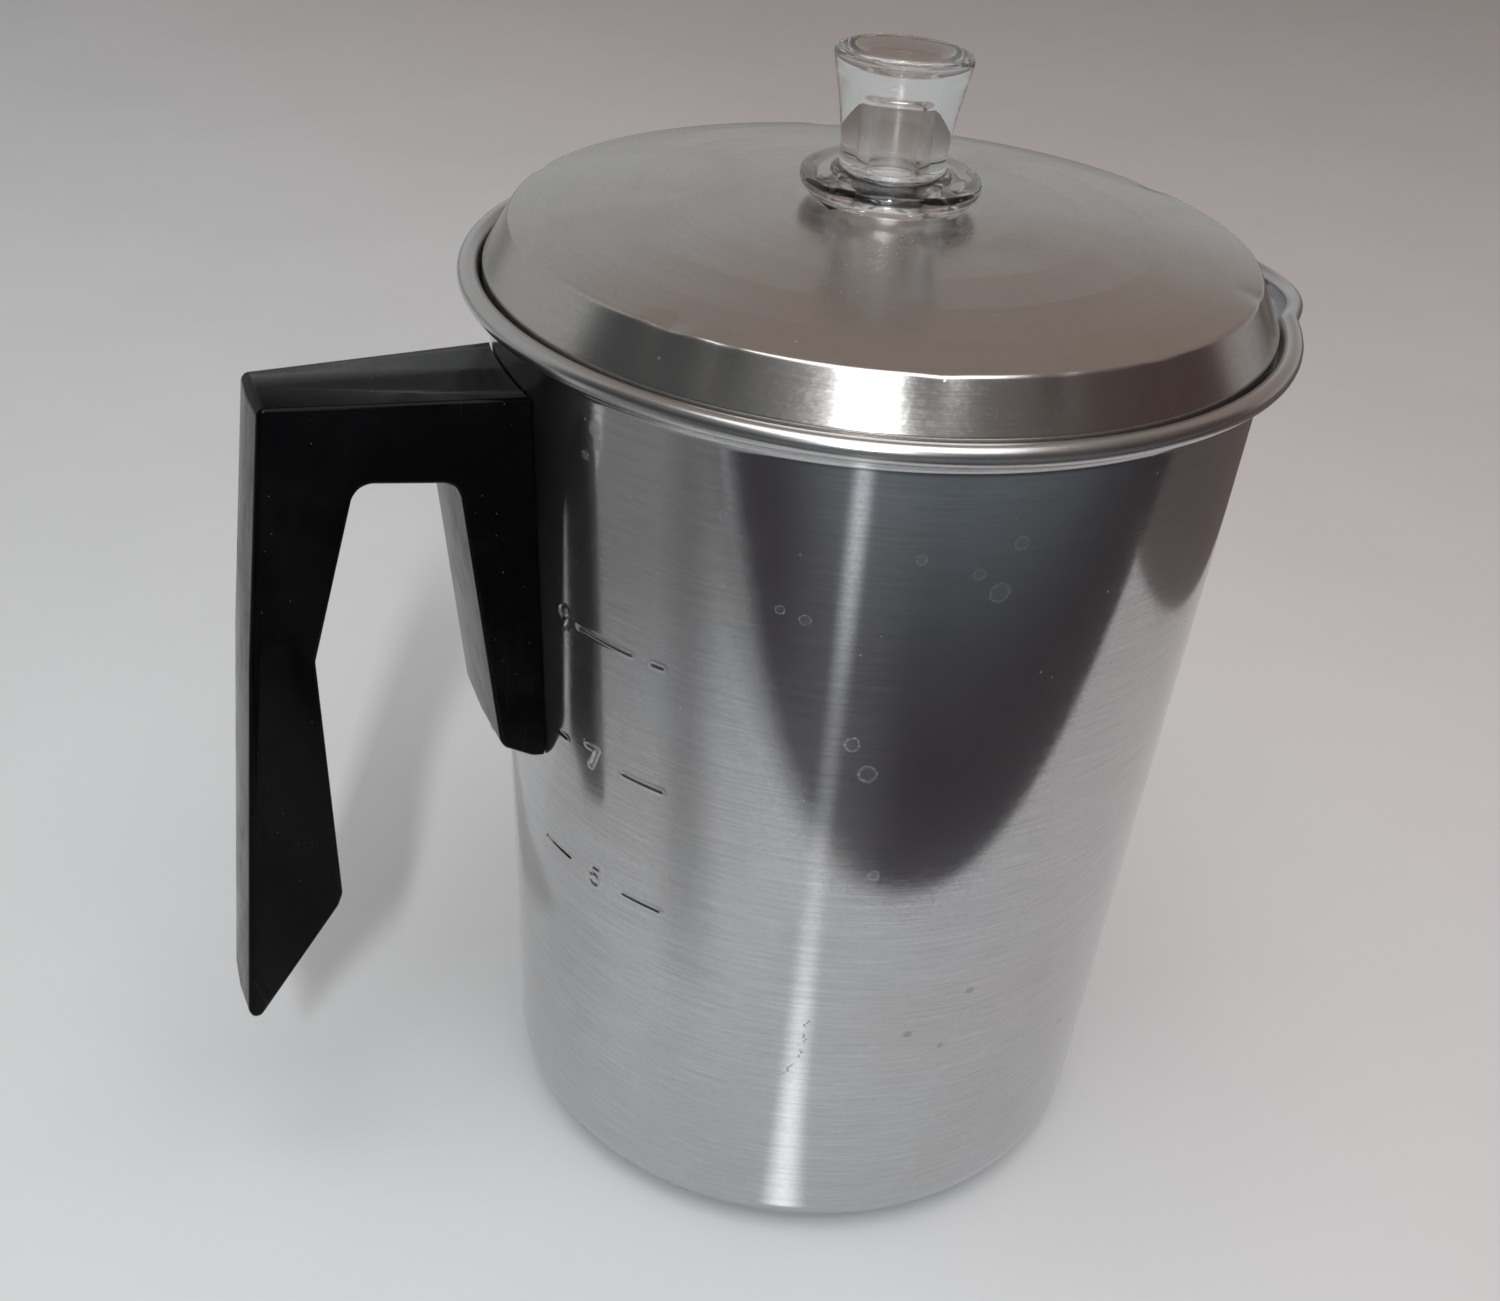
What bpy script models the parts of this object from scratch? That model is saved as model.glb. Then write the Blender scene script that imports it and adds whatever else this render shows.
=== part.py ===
"""Stove-top coffee percolator: tapered aluminium pot, black moulded handle, lid with a glass
knob, and inside it the pump (foot, tube, valve) that carries a coffee basket and its cover.

Run with: blender --background --python part.py
Metres, +Z up. The base stands on z = 0, the pot's axis is Z, the spout points to +X and the
handle to -X. Lengths below are in millimetres and MM turns them into metres.
"""

import math

import bmesh
import bpy
from mathutils import Matrix, Vector

MM = 0.001

# Pot
RIM_R = 70.0  # outside of the rolled rim
BEAD_R = 1.75  # radius of the roll
BEAD_Z = 166.7  # height of the roll's centre
BASE_R = 57.3  # wall radius where the base corner ends
CORNER_R = 9.5
NECK_Z = 159.5
NECK_R = 64.82
WALL_TOP_Z = 162.4  # the wall turns out under the rolled rim here
POT_WALL = 1.1
POT_STEPS = 60

# Pouring lip pressed into the rim
LIP_HALF_ANGLE = 28.0  # degrees each side of +X
LIP_OUT = 9.8
LIP_DROP = 3.7
LIP_LOW_Z = 143.0

# Graduation marks: (first angle, last angle) of each dash in degrees, and the numeral's angle
MARK_DEPTH = 0.25
MARK_HEIGHT = 0.8
NUMERAL_SIZE = 5.6
MARK_ROWS = (
    ("9", 121.2, ((190.8, 193.9), (201.4, 212.2), (215.8, 217.9)), 197.9),
    ("7", 97.2, ((190.6, 198.2), (210.6, 218.3)), 204.2),
    ("5", 71.7, ((190.8, 198.6), (210.8, 218.4)), 204.6),
)

# Handle outline in the XZ plane, from the wall round the outside and back up the inner leg
HANDLE_TOP_Z = 156.2
HANDLE_OUTLINE = (
    (-60.0, 156.2), (-103.6, 156.2), (-104.3, 155.4), (-108.0, 112.5), (-112.6, 40.4),
    (-111.9, 38.9), (-110.4, 38.9), (-96.0, 61.4), (-95.2, 63.9), (-97.7, 111.6),
    (-91.0, 140.6), (-90.0, 142.2), (-88.3, 143.0), (-76.6, 142.4), (-75.0, 141.6),
    (-74.2, 139.6), (-67.9, 93.0), (-67.2, 91.7), (-62.3, 89.4), (-57.0, 89.4),
)
HANDLE_OUTER_WIDTH = 15.0
HANDLE_WALL_WIDTH = 23.6
HANDLE_RIDGE = 0.4  # the moulding line stands this far out along every edge face

# Bracket between the pot wall and the handle's inner leg
BRACKET_WIDTH = 12.0
BRACKET_SHEET = 1.0
BRACKET_REACH = 4.7  # how far the two end tabs stand out from the wall
BRACKET_LOW_Z = 96.0
BRACKET_HIGH_Z = 147.0
RIVET_Z = (110.0, 134.0)
RIVET_R = 2.0
SCREW_R = 1.2
SCREW_HEAD_R = 2.1
SCREW_X = -64.5

# Lid and knob
LID_SHEET = 0.9
LID_HOLE_R = 9.7
LID_STEPS = 60
KNOB_STEPS = 30

# Pump, basket and cover
TUBE_R = 4.0
TUBE_BORE_R = 3.2
TUBE_LOW_Z = 12.0
TUBE_HIGH_Z = 177.0
BASKET_SHEET = 0.7
BASKET_STEPS = 48
BASKET_HOLES = ((14.0, 6), (26.0, 10), (38.0, 14))  # ring radius and number of holes
COVER_HOLES = ((15.0, 6), (28.0, 10), (41.0, 14))
HOLE_R = 1.3
GAP = 0.3  # clearance between pieces that rest on each other

ALUMINIUM = ((0.80, 0.80, 0.81), 0.32, 1.0, 1.0)
SATIN_ALUMINIUM = ((0.74, 0.74, 0.75), 0.42, 1.0, 1.0)
STEEL = ((0.62, 0.62, 0.62), 0.30, 1.0, 1.0)
BAKELITE = ((0.012, 0.012, 0.013), 0.16, 0.0, 1.0)
GLASS = ((0.93, 0.96, 0.96), 0.03, 0.0, 0.35)


def clear_scene():
    for obj in list(bpy.data.objects):
        bpy.data.objects.remove(obj, do_unlink=True)


def make_collection(name, hidden=False):
    collection = bpy.data.collections.new(name)
    collection.hide_render = hidden
    bpy.context.scene.collection.children.link(collection)
    return collection


def material(name, look):
    """A Principled material from (colour, roughness, metallic, alpha)."""
    colour, roughness, metallic, alpha = look
    made = bpy.data.materials.new(name)
    made.use_nodes = True
    shader = made.node_tree.nodes["Principled BSDF"]
    shader.inputs["Base Color"].default_value = (*colour, 1.0)
    shader.inputs["Roughness"].default_value = roughness
    shader.inputs["Metallic"].default_value = metallic
    shader.inputs["Alpha"].default_value = alpha
    return made


def place(mesh, name, look=None):
    """Link a mesh as a part, or as a hidden cutter when it has no look."""
    obj = bpy.data.objects.new(name, mesh)
    (PARTS if look else CUTTERS).objects.link(obj)
    if look:
        mesh.materials.clear()
        mesh.materials.append(material(name, look))
    else:
        obj.hide_render = True
        obj.display_type = "WIRE"
    return obj


def mesh_from(name, points, faces=(), edges=()):
    mesh = bpy.data.meshes.new(name)
    mesh.from_pydata([tuple(c * MM for c in p) for p in points], list(edges), list(faces))
    mesh.update()
    return mesh


def mesh_of_bmesh(name, bm):
    bmesh.ops.recalc_face_normals(bm, faces=bm.faces)
    mesh = bpy.data.meshes.new(name)
    bm.to_mesh(mesh)
    bm.free()
    return mesh


def signed_area(loop):
    following = loop[1:] + loop[:1]
    return sum(a[0] * b[1] - b[0] * a[1] for a, b in zip(loop, following)) / 2


def turned(name, profile, steps, look=None, bore=False):
    """Turn a profile of (radius, height) about Z. With a bore the profile is a closed ring;
    otherwise it starts and ends on the axis."""
    profile = list(profile)
    if signed_area(profile) > 0:
        profile.reverse()
    edges = [(i, i + 1) for i in range(len(profile) - 1)]
    if bore:
        edges.append((len(profile) - 1, 0))
    obj = place(mesh_from(name, [(r, 0.0, z) for r, z in profile], edges=edges), name, look)
    screw = obj.modifiers.new("Turn", "SCREW")
    screw.axis = "Z"
    screw.angle = math.tau
    screw.screw_offset = 0.0
    screw.steps = screw.render_steps = steps
    screw.use_merge_vertices = True
    screw.merge_threshold = 1e-5
    screw.use_smooth_shade = False
    return obj


def sheet(path, thickness):
    """Closed profile of a sheet-metal pressing: the path is its outer side, running down."""
    inner = []
    for i, point in enumerate(path):
        here = Vector(point)
        sides = []
        for a, b in ((i - 1, i), (i, i + 1)):
            if a >= 0 and b < len(path):
                step = (Vector(path[b]) - Vector(path[a])).normalized()
                sides.append(Vector((step.y, -step.x)))
        normal = sum(sides, Vector((0.0, 0.0))).normalized()
        stretch = 1.0 / max(normal.dot(sides[0]), 0.55)
        inner.append(tuple(here + normal * thickness * stretch))
    return list(path) + inner[::-1]


def arc(centre, radius, first, last, count):
    """Points on an arc in the (radius, height) plane, angles in degrees from +r."""
    points = []
    for i in range(count):
        a = math.radians(first + (last - first) * i / (count - 1))
        points.append((centre[0] + radius * math.cos(a), centre[1] + radius * math.sin(a)))
    return points


def block(name, low, high, look=None):
    """Box from two opposite corners."""
    bm = bmesh.new()
    bmesh.ops.create_cube(bm, size=1.0)
    size = [(b - a) * MM for a, b in zip(low, high)]
    middle = [(a + b) / 2 * MM for a, b in zip(low, high)]
    bmesh.ops.transform(bm, matrix=Matrix.Translation(middle) @ Matrix.Diagonal((*size, 1)), verts=bm.verts)
    return place(mesh_of_bmesh(name, bm), name, look)


def rods(name, places, radius, low, high, sides=8):
    """One mesh of upright rods at the given (x, y) places."""
    bm = bmesh.new()
    for x, y in places:
        matrix = Matrix.Translation(Vector((x, y, (low + high) / 2)) * MM)
        bmesh.ops.create_cone(
            bm, cap_ends=True, segments=sides, radius1=radius * MM, radius2=radius * MM,
            depth=(high - low) * MM, matrix=matrix,
        )
    return place(mesh_of_bmesh(name, bm), name)


def ring_places(rings, turn=0.0):
    places = []
    for radius, count in rings:
        for i in range(count):
            a = math.tau * (i + 0.5) / count + math.radians(turn)
            places.append((radius * math.cos(a), radius * math.sin(a)))
    return places


def boolean(obj, cutter, operation="DIFFERENCE"):
    modifier = obj.modifiers.new(cutter.name, "BOOLEAN")
    modifier.operation = operation
    modifier.solver = "EXACT"
    modifier.object = cutter
    return modifier


def bevel(obj, width, segments=1, angle=40.0):
    modifier = obj.modifiers.new("Edges", "BEVEL")
    modifier.width = width * MM
    modifier.segments = segments
    modifier.limit_method = "ANGLE"
    modifier.angle_limit = math.radians(angle)
    modifier.use_clamp_overlap = True
    return modifier


def realised(obj):
    """Replace an object's mesh by its evaluated one, so that its points can be moved."""
    graph = bpy.context.evaluated_depsgraph_get()
    graph.update()
    mesh = bpy.data.meshes.new_from_object(obj.evaluated_get(graph))
    obj.modifiers.clear()
    obj.data = mesh
    return mesh


def smooth_step(value):
    value = min(max(value, 0.0), 1.0)
    return value * value * (3.0 - 2.0 * value)


def wall_radius(z):
    """Outside radius of the tapered wall."""
    return BASE_R + (NECK_R - BASE_R) * (z - CORNER_R) / (NECK_Z - CORNER_R)


# ---------------------------------------------------------------- pot


def pot_profile():
    corner = (BASE_R - CORNER_R, CORNER_R)
    inside = [(0.0, POT_WALL)]
    inside += arc(corner, CORNER_R - POT_WALL, -90.0, -3.0, 4)
    inside += [(wall_radius(z) - POT_WALL, z) for z in (LIP_LOW_Z, 151.0, WALL_TOP_Z)]
    inside += [(66.1, 165.0)]
    bead = arc((RIM_R - BEAD_R, BEAD_Z), BEAD_R, 180.0, -110.0, 7)
    outside = [(66.0, 163.9)]
    outside += [(wall_radius(z), z) for z in (WALL_TOP_Z, 151.0, LIP_LOW_Z)]
    outside += arc(corner, CORNER_R, -3.0, -90.0, 5)
    return inside + bead + outside + [(0.0, 0.0)]


def press_lip(mesh):
    """Push the rim out and down round +X, fading away down the wall."""
    for vertex in mesh.vertices:
        x, y, z = (c / MM for c in vertex.co)
        angle = math.degrees(math.atan2(y, x))
        if abs(angle) >= LIP_HALF_ANGLE or z <= LIP_LOW_Z:
            continue
        across = math.cos(math.pi / 2 * angle / LIP_HALF_ANGLE) ** 1.4
        up = smooth_step((z - LIP_LOW_Z) / (BEAD_Z - LIP_LOW_Z))
        radius = math.hypot(x, y)
        wider = (radius + LIP_OUT * across * up) / radius
        drop = LIP_DROP * across * smooth_step((z - 155.0) / (BEAD_Z - 155.0))
        vertex.co = Vector((x * wider, y * wider, z - drop)) * MM
    mesh.update()


def arc_block(bm, low_r, high_r, low_z, high_z, first, last):
    """Curved bar between two radii, used to stamp a dash."""
    count = max(2, round((last - first) / 2.5) + 1)
    rows = []
    for i in range(count):
        a = math.radians(first + (last - first) * i / (count - 1))
        corners = ((low_r, low_z), (high_r, low_z), (high_r, high_z), (low_r, high_z))
        rows.append([bm.verts.new((r * MM * math.cos(a), r * MM * math.sin(a), z * MM)) for r, z in corners])
    for a, b in zip(rows, rows[1:]):
        for i in range(4):
            j = (i + 1) % 4
            bm.faces.new((a[i], a[j], b[j], b[i]))
    bm.faces.new(rows[0])
    bm.faces.new(rows[-1])


def dash_cutter():
    bm = bmesh.new()
    for _, z, dashes, _ in MARK_ROWS:
        radius = wall_radius(z)
        for first, last in dashes:
            arc_block(
                bm, radius - MARK_DEPTH, radius + 1.0, z - MARK_HEIGHT / 2, z + MARK_HEIGHT / 2, first, last
            )
    return place(mesh_of_bmesh("cutter_dashes", bm), "cutter_dashes")


def numeral_cutter(text, z, angle):
    """A numeral standing on the wall, as a mesh, to be stamped MARK_DEPTH deep."""
    curve = bpy.data.curves.new("numeral_" + text, "FONT")
    curve.body = text
    curve.size = NUMERAL_SIZE * MM
    curve.extrude = 0.6 * MM
    curve.align_x = "CENTER"
    curve.align_y = "CENTER"
    curve.resolution_u = 2
    writing = bpy.data.objects.new("writing_" + text, curve)
    CUTTERS.objects.link(writing)
    writing.hide_render = True
    graph = bpy.context.evaluated_depsgraph_get()
    mesh = bpy.data.meshes.new_from_object(writing.evaluated_get(graph))
    bpy.data.objects.remove(writing, do_unlink=True)
    bm = bmesh.new()
    bm.from_mesh(mesh)
    bmesh.ops.remove_doubles(bm, verts=bm.verts, dist=1e-6)
    a = math.radians(angle)
    outward = Vector((math.cos(a), math.sin(a), 0.0))
    across = Vector((-math.sin(a), math.cos(a), 0.0))
    frame = Matrix((across, Vector((0, 0, 1)), outward)).transposed().to_4x4()
    centre = outward * (wall_radius(z) - MARK_DEPTH + 0.6) + Vector((0, 0, z))
    bmesh.ops.transform(bm, matrix=Matrix.Translation(centre * MM) @ frame, verts=bm.verts)
    return place(mesh_of_bmesh("cutter_" + text, bm), "cutter_" + text)


def rivet_frame(z):
    """Matrix whose +Z points out of the wall on the handle side, at the wall's outer face."""
    slope = math.atan2(NECK_R - BASE_R, NECK_Z - CORNER_R)
    outward = Vector((-math.cos(slope), 0.0, -math.sin(slope)))
    up = Vector((-math.sin(slope), 0.0, math.cos(slope)))
    side = up.cross(outward)
    turn = Matrix((side, up, outward)).transposed().to_4x4()
    return Matrix.Translation(Vector((-wall_radius(z), 0.0, z)) * MM) @ turn


def rivet_hole(name, z, radius):
    bm = bmesh.new()
    bmesh.ops.create_cone(
        bm, cap_ends=True, segments=16, radius1=radius * MM, radius2=radius * MM, depth=8 * MM,
        matrix=rivet_frame(z),
    )
    return place(mesh_of_bmesh(name, bm), name)


def build_pot():
    pot = turned("pot_body", pot_profile(), POT_STEPS, ALUMINIUM)
    press_lip(realised(pot))
    pot.data.materials.clear()
    pot.data.materials.append(bpy.data.materials["pot_body"])
    boolean(pot, dash_cutter())
    for text, z, _, angle in MARK_ROWS:
        boolean(pot, numeral_cutter(text, z, angle))
    for i, z in enumerate(RIVET_Z):
        boolean(pot, rivet_hole(f"cutter_wall_hole_{i}", z, RIVET_R + GAP))
    return pot


# ---------------------------------------------------------------- handle and its fixing


def handle_width(x):
    """The handle is narrow at the grip and widens towards the pot."""
    along = min(max((x + 104.0) / (104.0 - 63.6), 0.0), 1.1)
    return HANDLE_OUTER_WIDTH + (HANDLE_WALL_WIDTH - HANDLE_OUTER_WIDTH) * along


def outline_normals(outline):
    normals = []
    count = len(outline)
    for i in range(count):
        before, after = Vector(outline[i - 1]), Vector(outline[(i + 1) % count])
        along = (after - before).normalized()
        normals.append(Vector((along.y, -along.x)))
    if signed_area(list(outline)) < 0:
        normals = [-n for n in normals]
    return normals


def handle_mesh():
    bm = bmesh.new()
    layers = []
    normals = outline_normals(HANDLE_OUTLINE)
    for side in (-1, 0, 1):
        layer = []
        for (x, z), normal in zip(HANDLE_OUTLINE, normals):
            out = HANDLE_RIDGE if side == 0 else 0.0
            y = side * handle_width(x) / 2
            point = Vector((x + normal.x * out, y, z + normal.y * out))
            layer.append(bm.verts.new(point * MM))
        layers.append(layer)
    count = len(HANDLE_OUTLINE)
    for low, high in zip(layers, layers[1:]):
        for i in range(count):
            j = (i + 1) % count
            bm.faces.new((low[i], low[j], high[j], high[i]))
    bm.faces.new(layers[0])
    bm.faces.new(layers[-1])
    return mesh_of_bmesh("handle", bm)


def wall_following_block(name, low_z, high_z, near, far, width, look=None):
    """Block on the handle side whose two big faces lie `near` and `far` off the wall."""
    half = width / 2
    points = []
    for z in (low_z, high_z):
        for off in (near, far):
            for y in (-half, half):
                points.append((-(wall_radius(z) + off), y, z))
    faces = [(0, 1, 3, 2), (4, 5, 7, 6), (0, 1, 5, 4), (2, 3, 7, 6), (0, 2, 6, 4), (1, 3, 7, 5)]
    bm = bmesh.new()
    bm.from_mesh(mesh_from(name, points, faces))
    return place(mesh_of_bmesh(name, bm), name, look)


def build_handle():
    handle = place(handle_mesh(), "handle", BAKELITE)
    bevel(handle, 0.7, 2, 50.0)
    clearance = [(0.0, 170.0), (NECK_R + 3.0, 170.0), (NECK_R + 0.1 + GAP, NECK_Z)]
    clearance += [(wall_radius(60.0) + 0.1 + GAP, 60.0)]
    pot_side = turned("cutter_pot_side", clearance + [(0.0, 60.0)], POT_STEPS)
    pot_side.rotation_euler.z = math.pi / POT_STEPS
    boolean(handle, pot_side)
    pocket = wall_following_block(
        "cutter_pocket", BRACKET_LOW_Z - 0.6, BRACKET_HIGH_Z + 0.6, -3.0, BRACKET_REACH + 0.4,
        BRACKET_WIDTH + 1.0,
    )
    boolean(handle, pocket)
    boolean(handle, rods("cutter_screw_way", [(SCREW_X, 0.0)], SCREW_R + GAP, 80.0, 97.0, 16))
    boolean(handle, rods("cutter_screw_seat", [(SCREW_X, 0.0)], SCREW_HEAD_R + 0.5, 80.0, 91.6, 20))
    return handle


def build_bracket():
    bracket = wall_following_block(
        "handle_bracket", BRACKET_LOW_Z, BRACKET_HIGH_Z, GAP, BRACKET_REACH, BRACKET_WIDTH, SATIN_ALUMINIUM
    )
    hollow = wall_following_block(
        "cutter_bracket", BRACKET_LOW_Z + 1.6, BRACKET_HIGH_Z - 1.6, GAP + BRACKET_SHEET,
        BRACKET_REACH + 2.0, BRACKET_WIDTH + 2.0,
    )
    boolean(bracket, hollow)
    boolean(bracket, rods("cutter_bracket_screw", [(SCREW_X, 0.0)], SCREW_R + GAP, 90.0, 97.8, 16))
    for i, z in enumerate(RIVET_Z):
        boolean(bracket, rivet_hole(f"cutter_bracket_hole_{i}", z, RIVET_R + GAP))
    return bracket


def build_rivet(name, z):
    """Flat head inside the pot, shank through the wall and bracket, domed head outside."""
    inner = -POT_WALL - 0.45
    outer = GAP + BRACKET_SHEET + GAP
    profile = [
        (0.0, outer + 1.2), (1.9, outer + 1.0), (3.1, outer + 0.4), (3.3, outer), (RIVET_R, outer),
        (RIVET_R, inner), (3.9, inner), (3.7, inner - 0.7), (0.0, inner - 0.7),
    ]
    rivet = turned(name, profile, 16, SATIN_ALUMINIUM)
    rivet.matrix_world = rivet_frame(z)
    return rivet


def build_screw():
    """Screw up through the end of the inner leg into the bracket's lower tab."""
    low = 89.3
    profile = [
        (0.0, 98.6), (SCREW_R - 0.3, 98.6), (SCREW_R, 98.2), (SCREW_R, low), (SCREW_HEAD_R, low),
        (SCREW_HEAD_R, low - 0.8), (1.5, low - 1.5), (0.0, low - 1.7),
    ]
    screw = turned("handle_screw", profile, 20, STEEL)
    screw.location = (SCREW_X * MM, 0.0, 0.0)
    slot = block("cutter_slot", (SCREW_X - 3.0, -0.3, low - 3.0), (SCREW_X + 3.0, 0.3, low - 1.0))
    boolean(screw, slot)
    washer_profile = [
        (SCREW_R + GAP, 90.3), (SCREW_HEAD_R, 90.3), (SCREW_HEAD_R, 89.6), (SCREW_R + GAP, 89.6)
    ]
    washer = turned("screw_washer", washer_profile, 20, STEEL, bore=True)
    washer.location = (SCREW_X * MM, 0.0, 0.0)
    return screw, washer


# ---------------------------------------------------------------- lid and knob


def lid_profile():
    dome = [(LID_HOLE_R, 180.5), (34.0, 179.5), (53.0, 177.4), (60.9, 176.1)]
    crease = [(61.8, 175.6), (62.3, 174.8)]
    skirt = [(65.9, 168.2), (65.9, 165.8), (64.9, 164.7)]
    plug = [(63.2, 164.1), (62.5, 157.6)]
    return sheet(dome + crease + skirt + plug, LID_SHEET)


def build_lid():
    lid = turned("lid", lid_profile(), LID_STEPS, SATIN_ALUMINIUM, bore=True)
    boolean(lid, block("cutter_bayonet", (-12.2, -3.6, 170.0), (12.2, 3.6, 185.0)))
    return lid


def knob_profile():
    top = [(0.0, 201.9), (5.2, 202.4), (8.8, 204.0), (10.0, 204.6), (10.8, 204.5), (11.1, 203.7)]
    body = [(10.2, 199.0), (9.3, 194.0), (8.7, 189.4), (8.7, 187.2), (9.6, 185.8)]
    flange = [(12.6, 185.5), (14.3, 185.2), (14.95, 184.2), (14.6, 182.8), (13.4, 181.5), (12.0, 180.9)]
    neck = [(9.2, 180.9), (9.2, 171.8), (8.8, 171.4), (6.2, 171.4)]
    bore = [(6.0, 172.0), (6.0, 183.6), (3.9, 186.0), (3.9, 197.0), (2.8, 198.3), (0.0, 198.6)]
    return top + body + flange + neck + bore


def build_knob():
    """Clear glass knob with a blind bore, and two bayonet lugs below the lid."""
    knob = turned("glass_knob", knob_profile(), KNOB_STEPS, GLASS)
    for side in (-1, 1):
        bm = bmesh.new()
        bmesh.ops.create_cube(bm, size=1.0)
        size = Matrix.Diagonal((5.2 * MM, 3.6 * MM, 3.6 * MM, 1.0))
        bmesh.ops.transform(bm, matrix=Matrix.Translation((0, side * 9.8 * MM, 176.4 * MM)) @ size, verts=bm.verts)
        lug = place(mesh_of_bmesh(f"lug_{side + 1}", bm), f"lug_{side + 1}")
        boolean(knob, lug, "UNION")
    return knob


# ---------------------------------------------------------------- inside the pot


def build_tube():
    profile = [
        (TUBE_BORE_R, TUBE_HIGH_Z), (TUBE_R, TUBE_HIGH_Z), (TUBE_R, TUBE_LOW_Z), (TUBE_BORE_R, TUBE_LOW_Z)
    ]
    return turned("pump_tube", profile, 24, ALUMINIUM, bore=True)


def build_foot():
    """Bell that stands on the pot's floor, with three notches that let the water in."""
    path = [
        (5.2, 30.0), (5.2, 23.4), (6.4, 21.4), (10.5, 19.4), (18.0, 15.8), (25.0, 10.8), (29.2, 5.4),
        (30.2, POT_WALL + GAP),
    ]
    foot = turned("pump_foot", sheet(path, 0.9), 30, ALUMINIUM, bore=True)
    places = [(29.6 * math.cos(a), 29.6 * math.sin(a)) for a in (math.radians(d) for d in (65, 185, 305))]
    boolean(foot, rods("cutter_notches", places, 3.2, 0.0, 4.6, 10))
    return foot


def build_valve():
    """Cage clinched on the end of the tube, and the loose disc that closes its hole."""
    cage_profile = [
        (TUBE_R + GAP, 18.4), (5.1, 18.4), (5.1, 12.9), (8.8, 11.9), (8.8, 5.9), (3.4, 5.9), (3.4, 6.7),
        (8.0, 6.7), (8.0, 11.2), (TUBE_R + GAP, 12.2),
    ]
    cage = turned("valve_cage", cage_profile, 24, ALUMINIUM, bore=True)
    disc_profile = [(0.0, 7.9), (6.2, 7.9), (6.6, 7.5), (6.6, 7.0), (0.0, 7.0)]
    disc = turned("valve_disc", disc_profile, 24, STEEL)
    return cage, disc


def build_basket_stop():
    """Collar pressed on the tube, on which the basket's sleeve stands."""
    profile = [(TUBE_R + GAP, 100.1), (7.4, 100.1), (7.8, 99.4), (7.4, 96.6), (TUBE_R + GAP, 96.6)]
    return turned("basket_stop", profile, 24, ALUMINIUM, bore=True)


def build_basket():
    """Perforated cup with a rolled edge and a sleeve that slides over the tube."""
    lip = [(57.3, 154.4), (57.3, 155.9), (55.2, 155.9)]
    wall = [(54.6, 154.8), (51.4, 103.6), (48.6, 101.1)]
    sleeve = [(6.9, 101.1), (5.3, 102.7), (5.3, 148.5)]
    path = (lip + wall + sleeve)[::-1]
    basket = turned("coffee_basket", sheet(path, BASKET_SHEET), BASKET_STEPS, ALUMINIUM, bore=True)
    boolean(basket, rods("cutter_basket_holes", ring_places(BASKET_HOLES), HOLE_R, 95.0, 105.0, 6))
    return basket


def build_cover():
    """Spreader that lies on the basket's edge, with a pan full of holes and a centre hub."""
    edge = [(57.3, 156.9), (54.0, 156.9), (53.0, 152.7), (51.8, 151.9)]
    hub = [(7.4, 151.9), (5.8, 153.3), (5.8, 159.5)]
    path = (edge + hub)[::-1]
    cover = turned("basket_cover", sheet(path, BASKET_SHEET), BASKET_STEPS, ALUMINIUM, bore=True)
    boolean(cover, rods("cutter_cover_holes", ring_places(COVER_HOLES), HOLE_R, 148.0, 153.5, 6))
    return cover


clear_scene()
PARTS = make_collection("coffee_percolator")
CUTTERS = make_collection("cutters", hidden=True)

build_pot()
build_handle()
build_bracket()
build_rivet("bracket_rivet_lower", RIVET_Z[0])
build_rivet("bracket_rivet_upper", RIVET_Z[1])
build_screw()
build_lid()
build_knob()
build_tube()
build_foot()
build_valve()
build_basket_stop()
build_basket()
build_cover()
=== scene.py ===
import math

import bmesh
import bpy
from mathutils import Matrix, Vector


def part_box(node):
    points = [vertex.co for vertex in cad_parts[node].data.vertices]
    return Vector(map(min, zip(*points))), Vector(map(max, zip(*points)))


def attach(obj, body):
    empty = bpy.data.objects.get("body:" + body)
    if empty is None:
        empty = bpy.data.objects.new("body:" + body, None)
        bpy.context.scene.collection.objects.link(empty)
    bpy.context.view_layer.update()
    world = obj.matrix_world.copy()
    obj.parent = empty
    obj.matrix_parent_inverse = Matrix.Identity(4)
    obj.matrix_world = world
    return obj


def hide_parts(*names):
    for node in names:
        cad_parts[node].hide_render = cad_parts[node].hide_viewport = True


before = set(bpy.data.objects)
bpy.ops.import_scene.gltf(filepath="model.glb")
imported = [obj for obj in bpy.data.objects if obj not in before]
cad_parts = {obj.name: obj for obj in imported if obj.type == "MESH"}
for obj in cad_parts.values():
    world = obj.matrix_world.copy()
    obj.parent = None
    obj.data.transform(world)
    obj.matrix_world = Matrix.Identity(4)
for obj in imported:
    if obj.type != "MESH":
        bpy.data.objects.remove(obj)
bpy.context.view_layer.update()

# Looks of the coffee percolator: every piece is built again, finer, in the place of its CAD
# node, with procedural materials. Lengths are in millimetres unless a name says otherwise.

MM = 0.001
DEG = math.pi / 180.0
SHARP = 32.0  # corners above this angle stay sharp, unless a piece says otherwise


def node_box(name):
    """Lowest and highest corner of a CAD node, in millimetres."""
    low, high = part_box(name)
    return low / MM, high / MM


# ---------------------------------------------------------------- sizes from the CAD frame

POT_LOW, POT_HIGH = node_box("pot_body")
LID_TOP = node_box("lid")[1].z
HANDLE_LOW, HANDLE_HIGH = node_box("handle")

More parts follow.
